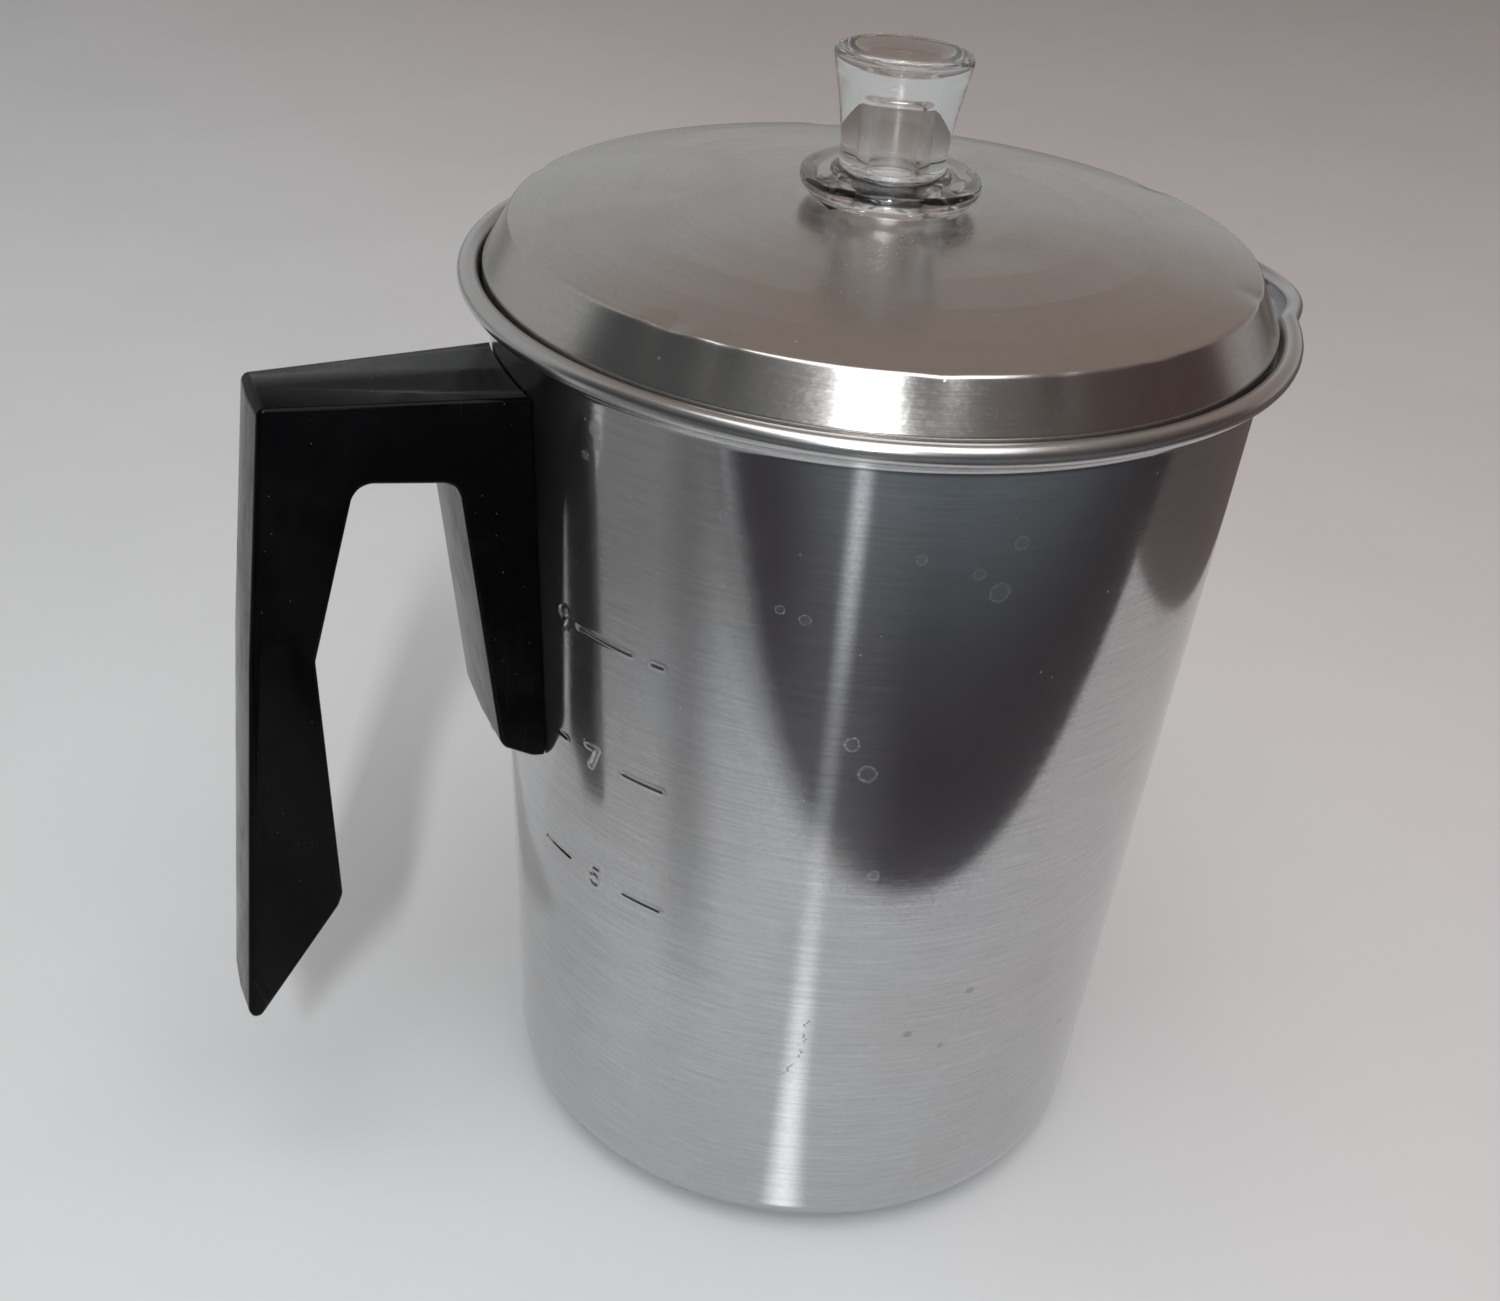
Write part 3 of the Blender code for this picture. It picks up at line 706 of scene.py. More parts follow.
def bow(cx, cy, rx, ry, first, last, count=9):
    """Short straight strokes along part of an ellipse, in numeral units."""
    turn = [(first + (last - first) * i / (count - 1)) * DEG for i in range(count)]
    points = [(cx + rx * math.cos(a), cy + ry * math.sin(a)) for a in turn]
    return list(zip(points, points[1:]))


# Strokes in a cell one unit tall, centred on 0
NUMERALS = {
    "9": bow(0.0, 0.21, 0.26, 0.26, 0, 360, 15) + bow(-0.02, 0.12, 0.285, 0.60, 12, -66, 8),
    "7": [((-0.29, 0.47), (0.29, 0.47)), ((0.29, 0.47), (-0.06, -0.48))],
    "5": [((0.24, 0.47), (-0.20, 0.47)), ((-0.20, 0.47), (-0.24, 0.06))]
    + bow(-0.02, -0.16, 0.28, 0.30, 140, -140, 13),
}


def mark_strokes():
    """Every stamped line as (row height, (u, z), (u, z)), u being the length round the wall."""
    strokes = []
    for text, z, dashes, angle in MARK_ROWS:
        per_degree = wall_radius(z) * DEG
        for first, last in dashes:
            ends = first * per_degree + STROKE_HALF, last * per_degree - STROKE_HALF
            strokes.append((z, (ends[0], z), (ends[1], z)))
        for stroke in NUMERALS[text]:
            ends = [
                (angle * per_degree + x * NUMERAL_HEIGHT, z + y * NUMERAL_HEIGHT) for x, y in stroke
            ]
            strokes.append((z, *ends))
    return strokes


def stroke_distance(u, z, a, b):
    """Distance from a place on the wall to the stroke from a to b."""
    du, dz = b[0] - a[0], b[1] - a[1]
    t = ((u - a[0]) * du + (z - a[1]) * dz) / max(du * du + dz * dz, 1e-9)
    t = min(max(t, 0.0), 1.0)
    return math.hypot(u - a[0] - du * t, z - a[1] - dz * t)


def stamp_marks(mesh):
    """Press the graduation marks into the outside of the wall."""
    strokes = mark_strokes()
    for vertex, x, y, z in points_of(mesh):
        radius = math.hypot(x, y)
        angle = math.atan2(y, x) % math.tau
        beside = not MARK_SECTOR[0] - 1 < angle / DEG < MARK_SECTOR[1] + 1
        if beside or not 66.0 < z < 127.0 or radius < wall_radius(z) - 0.05:
            continue
        nearest = 9.0
        for row_z, a, b in strokes:
            if abs(z - row_z) < 4.0:
                nearest = min(nearest, stroke_distance(angle * wall_radius(row_z), z, a, b))
        press = 1.0 - smooth_step((nearest - STROKE_HALF * 0.45) / (STROKE_HALF * 1.1))
        raised = math.exp(-(((nearest - STROKE_HALF * 2.4) / 0.22) ** 2)) * 0.05
        if press > 0.0 or raised > 0.002:
            scale = (radius - MARK_DEPTH * press + raised * (1.0 - press)) / radius
            vertex.co = Vector((x * scale, y * scale, z)) * MM
    mesh.update()


def press_lip(mesh):
    """Push the rim out and down round +X, fading away down the wall."""
    for vertex, x, y, z in points_of(mesh):
        angle = math.atan2(y, x) / DEG
        if abs(angle) >= LIP_HALF_ANGLE or z <= LIP_LOW_Z:
            continue
        across = math.cos(math.pi / 2 * angle / LIP_HALF_ANGLE) ** 1.4
        up = smooth_step((z - LIP_LOW_Z) / (BEAD_Z - LIP_LOW_Z))
        radius = math.hypot(x, y)
        wider = (radius + LIP_OUT * across * up) / radius
        drop = LIP_DROP * across * smooth_step((z - LIP_DROP_Z) / (BEAD_Z - LIP_DROP_Z))
        vertex.co = Vector((x * wider, y * wider, z - drop)) * MM
    mesh.update()


def pot_angles():
    """Even steps, closer together on the lip and much closer where the marks are stamped."""
    fine = GRID / wall_radius(97.0) / DEG
    angles, here = [], 0.0
    while here < 359.99:
        angles.append(here * DEG)
        if here < LIP_SECTOR or here >= 360.0 - LIP_SECTOR:
            here += 1.0
        elif MARK_SECTOR[0] <= here < MARK_SECTOR[1]:
            here += fine
        else:
            here += 1.5
    return angles


def wall_heights():
    """Heights of the mesh rows down the outside wall."""
    rows, z = [], WALL_TOP_Z - 0.7
    while z > CORNER_R + 0.6:
        rows.append(z)
        if any(abs(z - GRID / 2 - row[1]) < MARK_REACH for row in MARK_ROWS):
            z -= GRID
            continue
        tops = [row[1] + MARK_REACH for row in MARK_ROWS if row[1] + MARK_REACH < z - 0.01]
        z = max([z - (2.5 if z > LIP_LOW_Z else 6.0)] + tops)
    return rows


def build_pot():
    """The drawn pot: one turned sheet, then its lip and its marks."""
    corner = (BASE_R - CORNER_R, CORNER_R)
    inside = [(0.0, POT_WALL), (20.0, POT_WALL), (40.0, POT_WALL)]
    inside += arc(corner, CORNER_R - POT_WALL, -90.0, -3.0, 9)
    rows = (12.0, 30.0, 60.0, 90.0, 120.0, LIP_LOW_Z, 147.0, 151.0, 155.0, 158.5, WALL_TOP_Z)
    inside += [(wall_radius(z) - POT_WALL, z) for z in rows]
    inside += [(64.25, 163.1), (65.1, 164.05), (66.0, 164.9), (66.4, 165.7)]
    bead = arc((RIM_R - BEAD_R, BEAD_Z), BEAD_R, 170.0, -112.0, 17)
    under = [(67.0, 164.75), (66.4, 164.25), (65.8, 163.6), (65.35, 163.0), (65.06, 162.6)]
    outside = [(wall_radius(WALL_TOP_Z - 0.2), WALL_TOP_Z - 0.2)]
    outside += [(wall_radius(z), z) for z in wall_heights()]
    outside += [(wall_radius(CORNER_R + 0.4), CORNER_R + 0.4)]
    outside += arc(corner, CORNER_R, -3.0, -90.0, 13)
    base = [(45.0, 0.0), (44.4, 0.1), (43.9, 0.35)]
    base += [(r, BASE_HOLLOW) for r in (43.2, 42.0, 20.0, 0.0)]
    profile = inside + bead + under + outside + base
    mesh = turned_mesh("pot_shell", profile, pot_angles(), closed=False)
    press_lip(mesh)
    stamp_marks(mesh)
    pot = linked(smoothed(mesh, 48.0), "pot_shell")
    return dressed(pot, "pot_body", "pot", "pot_aluminium")


# ---------------------------------------------------------------- handle and its fixing

HANDLE_OUTLINE = (
    (-60.0, 156.2), (-103.6, 156.2), (-104.3, 155.4), (-108.0, 112.5), (-112.6, 40.4),
    (-111.9, 38.9), (-110.4, 38.9), (-96.0, 61.4), (-95.2, 63.9), (-97.7, 111.6),
    (-91.0, 140.6), (-90.0, 142.2), (-88.3, 143.0), (-76.6, 142.4), (-75.0, 141.6),
    (-74.2, 139.6), (-67.9, 93.0), (-67.2, 91.7), (-62.3, 89.4), (-57.0, 89.4),
)
HANDLE_RIDGE = 0.4
GRIP_WIDTH, GRIP_X, ROOT_X = 15.0, -104.0, -63.6
BRACKET_LOW_Z, BRACKET_HIGH_Z = 96.0, 147.0
BRACKET_WIDTH = 12.0
BRACKET_SHEET = 1.0
BRACKET_REACH = 4.7
RIVET_Z = (110.0, 134.0)
RIVET_R = 2.0
SCREW_R, SCREW_HEAD_R, SCREW_X, SCREW_HEAD_Z = 1.2, 2.1, -64.5, 89.3


def handle_width(x):
    """The handle is narrow at the grip and widens towards the pot."""
    along = min(max((x - GRIP_X) / (ROOT_X - GRIP_X), 0.0), 1.1)
    return GRIP_WIDTH + (HANDLE_HIGH.y - HANDLE_LOW.y - GRIP_WIDTH) * along


def handle_mesh():
    """The moulding: flat sides, and a shallow ridge along every edge face."""
    bm = bmesh.new()
    outline = filleted(HANDLE_OUTLINE, 3.0, 3, closed=True)
    count = len(outline)
    clockwise = signed_area(outline) < 0
    layers = []
    for side in (-1, 0, 1):
        layer = []
        for i, (x, z) in enumerate(outline):
            before, after = Vector(outline[i - 1]), Vector(outline[(i + 1) % count])
            along = (after - before).normalized()
            normal = Vector((-along.y, along.x)) if clockwise else Vector((along.y, -along.x))
            out = 0.0 if side else HANDLE_RIDGE
            y = side * handle_width(x) / 2
            layer.append(bm.verts.new(Vector((x + normal.x * out, y, z + normal.y * out)) * MM))
        layers.append(layer)
    for low, high in zip(layers, layers[1:]):
        for i in range(count):
            j = (i + 1) % count
            bm.faces.new((low[i], low[j], high[j], high[i]))
    bm.faces.new(layers[0])
    bm.faces.new(layers[-1])
    return bmesh_to_mesh(bm, "handle_moulding")


def wall_following_block(name, low_z, high_z, near, far, width):
    """Block on the handle side whose two big faces lie near and far off the wall."""
    points = [
        (-(wall_radius(z) + off) * MM, y * MM, z * MM)
        for z in (low_z, high_z) for off in (near, far) for y in (-width / 2, width / 2)
    ]
    faces = [(0, 1, 3, 2), (4, 5, 7, 6), (0, 1, 5, 4), (2, 3, 7, 6), (0, 2, 6, 4), (1, 3, 7, 5)]
    mesh = bpy.data.meshes.new(name)
    mesh.from_pydata(points, [], faces)
    bm = bmesh.new()
    bm.from_mesh(mesh)
    return linked(bmesh_to_mesh(bm, name), name)


def bevelled(obj, width, segments, angle=40.0):
    """Rounded edges, where faces meet above this angle."""
    modifier = obj.modifiers.new("Edges", "BEVEL")
    modifier.width = width * MM
    modifier.segments = segments
    modifier.limit_method = "ANGLE"
    modifier.angle_limit = angle * DEG
    modifier.use_clamp_overlap = True
    return applied(obj)


def weighted(obj):
    """Normals that follow the big flat faces, so that they stay flat beside round edges."""
    modifier = obj.modifiers.new("Flat faces", "WEIGHTED_NORMAL")
    modifier.keep_sharp = True
    modifier.weight = 80
    return applied(obj)


def build_handle():
    """The moulding with room for the wall, the bracket and the screw."""
    handle = bevelled(linked(handle_mesh(), "handle_moulding"), 0.75, 4, 50.0)
    clearance = [(0.0, 170.0), (NECK_R + 3.0, 170.0), (NECK_R + GAP, NECK_Z)]
    clearance += [(wall_radius(60.0) + GAP, 60.0), (0.0, 60.0)]
    pot_side = linked(turned_mesh("cut_side", clearance, even_angles(240), False), "cut_side")
    pocket = wall_following_block(
        "cut_pocket", BRACKET_LOW_Z - 0.6, BRACKET_HIGH_Z + 0.6, -3.0, BRACKET_REACH + 0.4,
        BRACKET_WIDTH + 1.0,
    )
    way = rods("cut_way", [(SCREW_X, 0.0)], SCREW_R + GAP, 80.0, 97.0, 32)
    seat = rods("cut_seat", [(SCREW_X, 0.0)], SCREW_HEAD_R + 0.5, 80.0, 91.6, 32)
    combined(handle, [pot_side, pocket, way, seat])
    return dressed(weighted(handle), "handle", "pot", "black_bakelite")


def rivet_frame(z):
    """Matrix whose +Z points out of the wall on the handle side, at the wall's outer face."""
    slope = math.atan2(NECK_R - BASE_R, NECK_Z - CORNER_R)
    outward = Vector((-math.cos(slope), 0.0, -math.sin(slope)))
    up = Vector((-math.sin(slope), 0.0, math.cos(slope)))
    turn = Matrix((up.cross(outward), up, outward)).transposed().to_4x4()
    return Matrix.Translation(Vector((-wall_radius(z), 0.0, z)) * MM) @ turn


def build_bracket():
    """Strap riveted to the wall, hollow under its two tabs."""
    bracket = wall_following_block(
        "handle_strap", BRACKET_LOW_Z, BRACKET_HIGH_Z, GAP, BRACKET_REACH, BRACKET_WIDTH
    )
    hollow = wall_following_block(
        "cut_hollow", BRACKET_LOW_Z + 1.6, BRACKET_HIGH_Z - 1.6, GAP + BRACKET_SHEET,
        BRACKET_REACH + 2.0, BRACKET_WIDTH + 2.0,
    )
    hole = rods("cut_screw", [(SCREW_X, 0.0)], SCREW_R + GAP, 90.0, 97.8, 24)
    bracket = weighted(bevelled(combined(bracket, [hollow, hole]), 0.25, 3))
    return dressed(bracket, "handle_bracket", "pot", "bracket_aluminium")


def build_rivet(name, node, z):
    """Flat head inside the pot, shank through the wall, domed head outside."""
    inner = -POT_WALL - 0.45
    outer = GAP + BRACKET_SHEET + GAP
    dome = [(0.0, 1.2), (1.0, 1.15), (1.9, 1.0), (2.7, 0.7), (3.1, 0.4), (3.3, 0.0)]
    flat = [(3.9, 0.0), (3.85, -0.35), (3.6, -0.62), (3.2, -0.7), (0.0, -0.7)]
    profile = [(r, outer + z) for r, z in dome] + [(RIVET_R, outer), (RIVET_R, inner)]
    profile += [(r, inner + z) for r, z in flat]
    mesh = turned_mesh(name, profile, even_angles(40), False)
    mesh.transform(rivet_frame(z))
    return dressed(linked(smoothed(mesh, SHARP), name), node, "pot", "rivet_aluminium")


def on_screw_axis(name, profile, closed):
    """Small turned piece on the screw's own axis."""
    mesh = turned_mesh(name, profile, even_angles(40), closed)
    mesh.transform(Matrix.Translation((SCREW_X * MM, 0.0, 0.0)))
    return linked(smoothed(mesh, SHARP), name)


def build_screw():
    """Slotted screw: domed head below, thread above."""
    low, turn = SCREW_HEAD_Z, 0.7
    thread = []
    for i in range(11):
        z = 98.0 - i * turn
        thread += [(SCREW_R - 0.02, z), (SCREW_R - 0.28, z - turn / 2)]
    head = [(SCREW_R - 0.02, low), (SCREW_HEAD_R, low), (SCREW_HEAD_R, low - 0.7)]
    head += [(1.95, low - 1.05), (1.5, low - 1.4), (0.9, low - 1.62), (0.0, low - 1.7)]
    profile = [(0.0, 98.6), (SCREW_R - 0.35, 98.6)] + thread + [(SCREW_R - 0.05, 90.2)] + head
    screw = on_screw_axis("handle_screw_steel", profile, False)
    slot = soft_box(
        "cut_slot", (SCREW_X - 3.0, -0.3, low - 3.0), (SCREW_X + 3.0, 0.3, low - 0.95), 0.0
    )
    return dressed(combined(screw, [slot]), "handle_screw", "pot", "screw_steel")


def build_washer():
    """Flat washer between the screw's head and the handle."""
    inner, outer, low, high, edge = SCREW_R + GAP, SCREW_HEAD_R, 89.6, 90.3, 0.1
    ring = [(inner, high - edge), (inner + edge, high), (outer - edge, high), (outer, high - edge)]
    ring += [(outer, low + edge), (outer - edge, low), (inner + edge, low), (inner, low + edge)]
    return dressed(on_screw_axis("washer_ring", ring, True), "screw_washer", "pot", "screw_steel")


# ---------------------------------------------------------------- lid and knob

LID_SHEET = 0.9
# Small dents of long use: (angle, radius, depth, reach)
LID_DENTS = (
    (214.0, 61.8, 0.34, 2.6), (223.0, 62.6, 0.25, 2.0), (252.0, 61.9, 0.30, 2.8),
    (268.0, 62.4, 0.22, 2.2), (285.0, 61.7, 0.26, 2.6), (318.0, 62.2, 0.28, 2.4),
    (12.0, 61.8, 0.30, 3.0), (75.0, 62.0, 0.32, 3.0), (140.0, 61.8, 0.28, 2.6),
    (236.0, 44.0, 0.10, 5.0), (290.0, 30.0, 0.08, 6.0), (160.0, 38.0, 0.10, 5.0),
)


def dent_lid(mesh):
    """Press the dents in; those on the crease go inwards too."""
    for vertex, x, y, z in points_of(mesh):
        if z < LID_TOP - 14.5:
            continue
        for angle, radius, depth, reach in LID_DENTS:
            ux, uy = math.cos(angle * DEG), math.sin(angle * DEG)
            away = math.hypot(x - radius * ux, y - radius * uy)
            press = depth * math.exp(-((away / reach) ** 2))
            if press > 0.01 * depth:
                inwards = 0.7 * press if radius > 55.0 else 0.0
                vertex.co -= Vector((inwards * ux, inwards * uy, press)) * MM
    mesh.update()


def build_lid():
    """Dome, crease, skirt and the plug that goes into the pot, with the knob's bayonet hole."""
    dome = [(9.7, 0.0), (22.0, -0.35), (34.0, -1.0), (44.0, -1.85), (53.0, -3.1), (57.5, -3.9)]
    crease = [(61.75, -4.75)]
    skirt = [(65.9, -12.3), (65.9, -14.7), (64.9, -15.8), (63.2, -16.4), (62.5, -22.9)]
    path = [(r, LID_TOP + drop) for r, drop in dome + crease + skirt]
    path = held(filleted(path, 1.1, 7), 0.35, 3.0)
    mesh = turned_mesh("lid_shell", sheet(path, LID_SHEET), even_angles(256), True)
    dent_lid(mesh)
    lid = linked(smoothed(mesh, 40.0), "lid_shell")
    notch = soft_box("cut_bayonet", (-11.9, -3.1, 170.0), (11.9, 3.1, 185.0), 0.0)
    return dressed(combined(lid, [notch], sharp=40.0), "lid", "lid", "lid_aluminium")


def build_knob():
    """Pressed glass knob: dished top, flared body, wide flange, blind bore for the spurt."""
    top = flowing([(0.0, 201.9), (3.0, 202.0), (5.6, 202.5), (7.8, 203.4), (9.2, 204.2)], 4)
    lip = arc((10.15, 203.65), 0.95, 110.0, -10.0, 9)
    body = [(11.1, 203.3), (10.7, 201.2), (10.0, 198.0), (9.3, 194.0), (8.85, 190.6), (8.65, 187.9)]
    cove = flowing([(8.65, 187.6), (8.8, 186.5), (9.6, 185.8), (10.8, 185.55), (12.6, 185.5)], 4)
    flange = [(13.2, 185.5), (14.6, 185.2), (14.95, 184.1), (14.6, 182.8), (13.4, 181.5)]
    neck = filleted([(11.6, 180.9), (9.2, 180.9), (9.2, 171.4), (6.0, 171.4), (6.0, 176.0)], 0.5, 4)
    bore = filleted([(6.0, 178.0), (6.0, 184.2), (3.9, 185.6), (3.9, 190.0)], 1.1, 5)
    bore += [(3.9, 194.0)] + arc((2.6, 197.3), 1.3, 0.0, 80.0, 7) + [(1.4, 198.65), (0.0, 198.7)]
    flange = filleted(flange + [(12.0, 180.9)], 1.2, 6)
    path = top + lip + flowing(body, 6) + cove + flange + neck + bore
    knob = turned("knob_glass", held(path, 0.25, 1.5), 192, closed=False, sharp=60.0)
    lugs = [
        soft_box(f"lug_{side}", (-2.6, y - 1.8, 174.6), (2.6, y + 1.8, 178.2), 0.5)
        for side, y in ((-1, -9.8), (1, 9.8))
    ]
    combined(knob, lugs, "UNION", sharp=60.0)
    knob.visible_shadow = False  # its shadow on the lid would be far too dark for clear glass
    return dressed(knob, "glass_knob", "knob", "clear_glass")


# ---------------------------------------------------------------- inside the pot

TUBE_R, TUBE_BORE_R = 4.0, 3.2
BASKET_SHEET = 0.7
HOLE_R = 0.95


def perforations(first, last, pitch):
    """Rings of holes as (radius, count), about one pitch apart in both directions."""
    count = round((last - first) / pitch)
    radii = [first + (last - first) * i / count for i in range(count + 1)]
    return [(r, int(math.tau * r / pitch)) for r in radii]


def build_tube():
    """Riser tube, open at both ends."""
    low, high = 12.0, 177.0
    outer = [(TUBE_R - 0.15, high)] + [(TUBE_R, z) for z in (high - 0.2, 158.0, 60.0, low)]
    inner = [(TUBE_BORE_R, z) for z in (low, 90.0, high - 0.2)] + [(TUBE_BORE_R + 0.15, high)]
    tube = turned("riser_tube", outer + inner, 64)
    return dressed(tube, "pump_tube", "pump", "pump_aluminium")


def build_foot():
    """Bell that stands on the pot's floor, with notches that let the water in."""
    path = [
        (5.2, 30.0), (5.2, 23.4), (6.4, 21.4), (10.5, 19.4),
        (18.0, 15.8), (25.0, 10.8), (29.2, 5.4), (30.2, POT_WALL + GAP),
    ]
    path = held(filleted(path, 2.5, 6), 0.3, 2.5)
    foot = turned("foot_bell", sheet(path, 0.9), 160)
    places = [polar(29.6, angle * DEG) for angle in (65.0, 185.0, 305.0)]
    combined(foot, [rods("cut_notches", places, 3.2, 0.0, 4.6, 28)])
    return dressed(foot, "pump_foot", "pump", "pump_aluminium")


def build_valve():
    """Cage clinched on the tube's lower end, and the loose disc in it."""
    cage = [
        (TUBE_R + GAP, 18.4), (5.1, 18.4), (5.1, 12.9), (8.8, 11.9), (8.8, 5.9),
        (3.4, 5.9), (3.4, 6.7), (8.0, 6.7), (8.0, 11.2), (TUBE_R + GAP, 12.2),
    ]
    cage = held(filleted(cage, 0.25, 3, closed=True), 0.2, 3.0, closed=True)
    dressed(turned("valve_housing", cage, 80), "valve_cage", "pump", "pump_aluminium")
    disc = [(0.0, 7.9), (5.6, 7.9), (6.2, 7.85), (6.5, 7.6), (6.6, 7.45), (6.55, 7.1), (6.3, 7.0)]
    disc = turned("valve_plate", disc + [(0.0, 7.0)], 80, closed=False)
    return dressed(disc, "valve_disc", "valve", "valve_steel")


def build_collar():
    """Collar on the tube that carries the basket."""
    ring = [(TUBE_R + GAP, 100.1), (7.4, 100.1), (7.8, 99.4), (7.4, 96.6), (TUBE_R + GAP, 96.6)]
    ring = held(filleted(ring, 0.3, 3, closed=True), 0.15, 2.0, closed=True)
    return dressed(turned("stop_collar", ring, 72), "basket_stop", "pump", "pump_aluminium")


def perforated(obj, rings, turn, low, high):
    """Punch rings of holes through the sheet between two heights."""
    return combined(obj, [rods("cut_holes", ring_places(rings, turn), HOLE_R, low, high)])


def build_basket():
    """Perforated cup with a turned edge and a sleeve that slides over the tube."""
    lip = [(57.3, 154.4), (57.3, 155.9), (55.2, 155.9)]
    wall = [(54.6, 154.8), (51.4, 103.6), (48.6, 101.1)]
    sleeve = [(6.9, 101.1), (5.3, 102.7), (5.3, 148.5)]
    path = held(filleted((lip + wall + sleeve)[::-1], 0.75, 4), 0.3, 6.0)
    basket = turned("basket_cup", sheet(path, BASKET_SHEET), 160)
    perforated(basket, perforations(11.5, 45.5, 4.25), 1.3, 95.0, 105.0)
    return dressed(basket, "coffee_basket", "basket", "basket_aluminium")


def build_cover():
    """Spreader on the basket's edge, with a pan full of holes and a centre hub."""
    edge = [(57.3, 156.9), (54.0, 156.9), (53.0, 152.7), (51.8, 151.9)]
    hub = [(7.4, 151.9), (5.8, 153.3), (5.8, 159.5)]
    path = held(filleted((edge + hub)[::-1], 0.75, 4), 0.3, 6.0)
    cover = turned("spreader_plate", sheet(path, BASKET_SHEET), 160)
    perforated(cover, perforations(12.0, 48.0, 4.5), -1.1, 148.0, 153.5)
    return dressed(cover, "basket_cover", "cover", "basket_aluminium")


# ---------------------------------------------------------------- stage, light and camera


FLOOR_COLOUR = (0.715, 0.735, 0.745)
FLOOR_SHADED_COLOUR = (0.655, 0.605, 0.595)  # painted shade: the table turns warmer and dimmer towards the right
TABLE_EDGE_Y = -0.147  # where the pale table seems to end, in reflections only; in metres
# Heights of the cards, in metres: each lies over the ones before it
SIDE_CARD_Z, FRONT_CARD_Z, SHADE_CARD_Z, STREAK_CARD_Z = 0.0012, 0.0016, 0.0019, 0.0026
STREAK_TURN, SHADE_TURN = 244.3, 190.5  # the way these two cards run, in degrees


def build_floor():
    """Round pale table top, in metres."""
    bm = bmesh.new()
    bmesh.ops.create_circle(bm, cap_ends=True, segments=96, radius=6.0)
    floor = linked(bmesh_to_mesh(bm, "floor"), "floor")
    tree = Tree("pale_floor")
    # Painted shade: the table's colour darkens and warms towards the right
    tint = tree.mix(tree.span(tree.x, -0.15, 0.40), FLOOR_COLOUR, FLOOR_SHADED_COLOUR)
    grain = tree.noise(tree.place, 9.0, 3.0, 0.6)
    tone = tree.mix(tree.span(grain, 0.3, 0.7, 0.0, 0.03), tint, (0.0, 0.0, 0.0))
    tree.finish(Base_Color=tone, Roughness=0.45, Specular_IOR_Level=0.0)
    floor.data.materials.append(tree.block)


def new_card(name, x_range, y_range, z):
    """Card on the table that only shows in reflections, as a photographer lays out to shape
    a highlight: its object and its material's nodes. In metres."""
    mesh = bpy.data.meshes.new(name)
    (x0, x1), (y0, y1) = x_range, y_range
    mesh.from_pydata([(x0, y0, z), (x1, y0, z), (x1, y1, z), (x0, y1, z)], [], [(0, 1, 2, 3)])
    card = linked(mesh, name)
    card.visible_camera = card.visible_diffuse = card.visible_shadow = False
    card.visible_transmission = card.visible_volume_scatter = False
    tree = Tree(name)
    mesh.materials.append(tree.block)
    return card, tree


def fading_card(name, x_range, y_range, near, far, along, fade, z):
    """Card whose colour runs from near to far between two places along an axis."""
    _, tree = new_card(name, x_range, y_range, z)
    tone = tree.mix(tree.span(getattr(tree, along), *fade), near, far)
    tree.finish(Base_Color=tone, Roughness=0.9, Specular_IOR_Level=0.0)
    return tree


def front_card():
    """The dark room in front of the table. Its edge blurs more and more towards the left."""
    near, far = (0.15, 0.175, 0.19), (0.045, 0.038, 0.043)
    span = (-1.6, 1.6), (-1.8, 0.0)
    tree = fading_card("front_card", *span, near, far, "y", (-0.36, -0.19), FRONT_CARD_Z)
    leftwards = tree.math("MAXIMUM", tree.times(tree.x, -1.0), 0.0)
    width = tree.mul_add(leftwards, 0.11, 0.001)
    share = tree.math("DIVIDE", tree.math("SUBTRACT", tree.y, TABLE_EDGE_Y), width)
    see_through(tree, tree.shader, "ShaderNodeMixShader", tree.span(share, -1.0, 1.0, 1.0, 0.0))


def side_cards():
    """The room right of the table, and painted shade that dims the table's left end."""
    near, far = (0.15, 0.12, 0.112), (0.24, 0.20, 0.19)
    span = (0.25, 1.6), (TABLE_EDGE_Y, 1.6)
    fading_card("right_card", *span, near, far, "x", (0.25, 0.9), SIDE_CARD_Z)
    # Painted shade: this grey card darkens the table's left end in reflections
    near, far = (0.30, 0.30, 0.30), FLOOR_COLOUR
    span = (-1.6, -0.075), (TABLE_EDGE_Y, 0.07)
    fading_card("left_card", *span, near, far, "x", (-0.28, -0.075), SIDE_CARD_Z)


def streak_card():
    """Soft glowing strip in front of the pot: the upright highlight on the wall and its halo."""
    card, tree = new_card("streak_card", (0.058, 0.36), (-0.16, 0.16), STREAK_CARD_Z)
    card.rotation_euler.z = STREAK_TURN * DEG
    width = tree.mul_add(tree.x, 0.062, 0.0022)
    share = tree.math("DIVIDE", tree.math("ABSOLUTE", tree.y), width)
    core, halo = tree.span(share, 0.0, 1.0, 1.0, 0.0), tree.span(share, 0.0, 6.0, 1.0, 0.0)
    foot = tree.span(tree.x, 0.07, 0.16, 0.95, 0.24)
    level = tree.plus(foot, tree.span(tree.x, 0.20, 0.30, 0.0, 0.50))
    haze = tree.span(tree.x, 0.10, 0.20, 0.0, 0.075)
    glow = tree.mul_add(level, core, tree.times(haze, halo))
    emit = tree.add("ShaderNodeEmission", Color=(0.95, 0.985, 1.0), Strength=glow)
    see_through(tree, emit, "ShaderNodeAddShader")


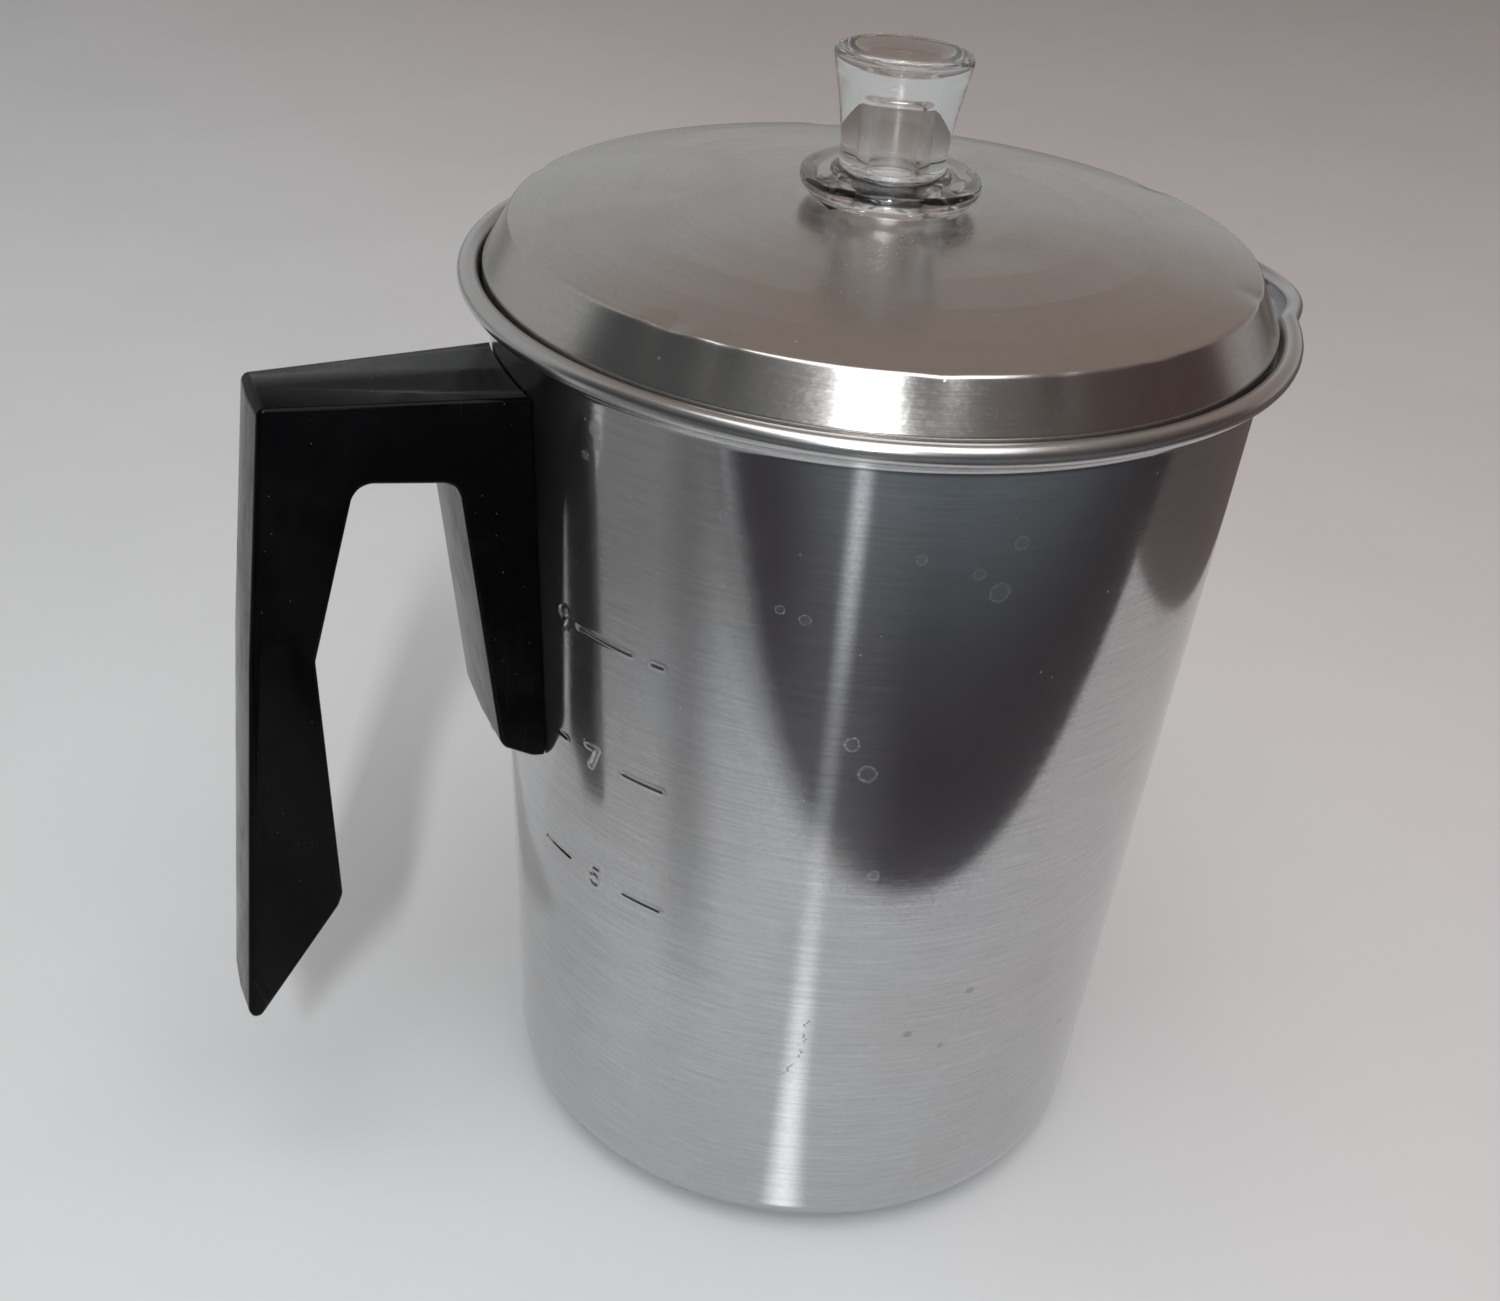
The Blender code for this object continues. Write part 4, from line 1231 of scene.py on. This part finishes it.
def shade_card():
    """Soft dim line beside the pot: the darker upright band on the left of the wall."""
    card, tree = new_card("shade_card", (0.06, 0.40), (-0.05, 0.05), SHADE_CARD_Z)
    card.location.y = -0.042
    card.rotation_euler.z = SHADE_TURN * DEG
    width = tree.mul_add(tree.x, 0.14, 0.008)
    share = tree.math("DIVIDE", tree.math("ABSOLUTE", tree.y), width)
    dark = tree.add("ShaderNodeBsdfDiffuse", Color=(0.10, 0.095, 0.10))
    fade = tree.span(tree.x, 0.065, 0.15, 0.0, 0.42)
    factor = tree.times(fade, tree.span(share, 0.0, 1.2, 1.0, 0.0))
    see_through(tree, dark, "ShaderNodeMixShader", factor)


def area_light(name, place, target, size, power, colour):
    """Rectangular light at a place, aimed at a target; it never shows in the picture."""
    data = bpy.data.lights.new(name, "AREA")
    data.shape = "RECTANGLE"
    data.size, data.size_y = size
    data.energy = power
    data.color = colour
    light = linked(data, name)
    light.location = place
    light.rotation_euler = (Vector(target) - Vector(place)).to_track_quat("-Z", "Y").to_euler()
    light.visible_camera = False


def build_world():
    """A pale soft wall behind, dimmer studio in front, as one smooth gradient."""
    tree = Tree("studio", bpy.data.worlds, "Background", "Generated")
    bpy.context.scene.world = tree.block
    # Paler and cooler low on the left, warmer and dimmer high up and on the right
    warmth = tree.mul_add(tree.x, 0.5, tree.z)
    cool, warm = (0.46, 0.468, 0.472), (0.30, 0.238, 0.21)
    behind = tree.mix(tree.span(warmth, 0.42, 0.80), cool, warm)
    cool, warm = (0.047, 0.054, 0.057), (0.078, 0.050, 0.045)
    front = tree.mix(tree.span(tree.x, -0.7, 0.6), cool, warm)
    front = tree.mix(tree.span(tree.z, 0.3, 0.95), front, (0.20, 0.185, 0.178))
    depth = tree.mul_add(tree.x, 0.25, tree.y)
    tree.finish(Color=tree.mix(tree.span(depth, 0.12, 0.28), front, behind), Strength=1.0)


# Camera: the photograph's own view, solved from the rim, base and lid ellipses
CAMERA_AZIMUTH = -27.7
CAMERA_ELEVATION = 32.414
CAMERA_ROLL = 6.689
CAMERA_DISTANCE = 354.28
CAMERA_TARGET_Z = 82.35
CAMERA_FOCAL = 1.2333333  # in frame widths
CAMERA_TURN = (0.04313514, 0.02783784)  # aim off the target, as tangents


def build_camera():
    """Camera turned off its target by small angles, so that the lens needs no shift."""
    azimuth, elevation, roll = (a * DEG for a in (CAMERA_AZIMUTH, CAMERA_ELEVATION, CAMERA_ROLL))
    back = Vector((
        math.sin(azimuth) * math.cos(elevation), -math.cos(azimuth) * math.cos(elevation),
        math.sin(elevation),
    ))
    right = Vector((0, 0, 1)).cross(back).normalized()
    up = back.cross(right)
    turned_right = right * math.cos(roll) + up * math.sin(roll)
    turned_up = up * math.cos(roll) - right * math.sin(roll)
    look = Matrix((turned_right, turned_up, back))
    tx, ty = (math.atan(t) for t in CAMERA_TURN)
    pan = Matrix(((math.cos(tx), 0, -math.sin(tx)), (0, 1, 0), (math.sin(tx), 0, math.cos(tx))))
    tilt = Matrix(((1, 0, 0), (0, math.cos(ty), math.sin(ty)), (0, -math.sin(ty), math.cos(ty))))
    turn = (tilt @ pan @ look).transposed()
    data = bpy.data.cameras.new("camera")
    data.sensor_width = 36.0
    data.lens = 36.0 * CAMERA_FOCAL
    data.clip_start = 0.01
    data.clip_end = 50.0
    camera = linked(data, "camera")
    place = Vector((0, 0, CAMERA_TARGET_Z)) + back * CAMERA_DISTANCE
    camera.matrix_world = Matrix.Translation(place * MM) @ turn.to_4x4()
    bpy.context.scene.camera = camera


def build_lights():
    """World, two lights, and the cards that the shiny metal mirrors. Places are in metres."""
    build_world()
    place, target = (-0.42, -0.86, 0.80), (0.0, 0.0, 0.09)
    area_light("key", place, target, (0.05, 0.20), 6.0, (0.97, 0.985, 1.0))
    place, target = (-0.15, -0.45, 1.5), (-0.1, -0.2, 0.0)
    area_light("overhead", place, target, (1.3, 1.3), 13.0, (0.985, 0.99, 1.0))
    front_card()
    side_cards()
    shade_card()
    streak_card()


bpy.context.scene.view_settings.view_transform = "Standard"
build_camera()
build_pot()
build_handle()
build_bracket()
build_rivet("rivet_low", "bracket_rivet_lower", RIVET_Z[0])
build_rivet("rivet_high", "bracket_rivet_upper", RIVET_Z[1])
build_screw()
build_washer()
build_lid()
build_knob()
build_tube()
build_foot()
build_valve()
build_collar()
build_basket()
build_cover()
build_floor()
build_lights()
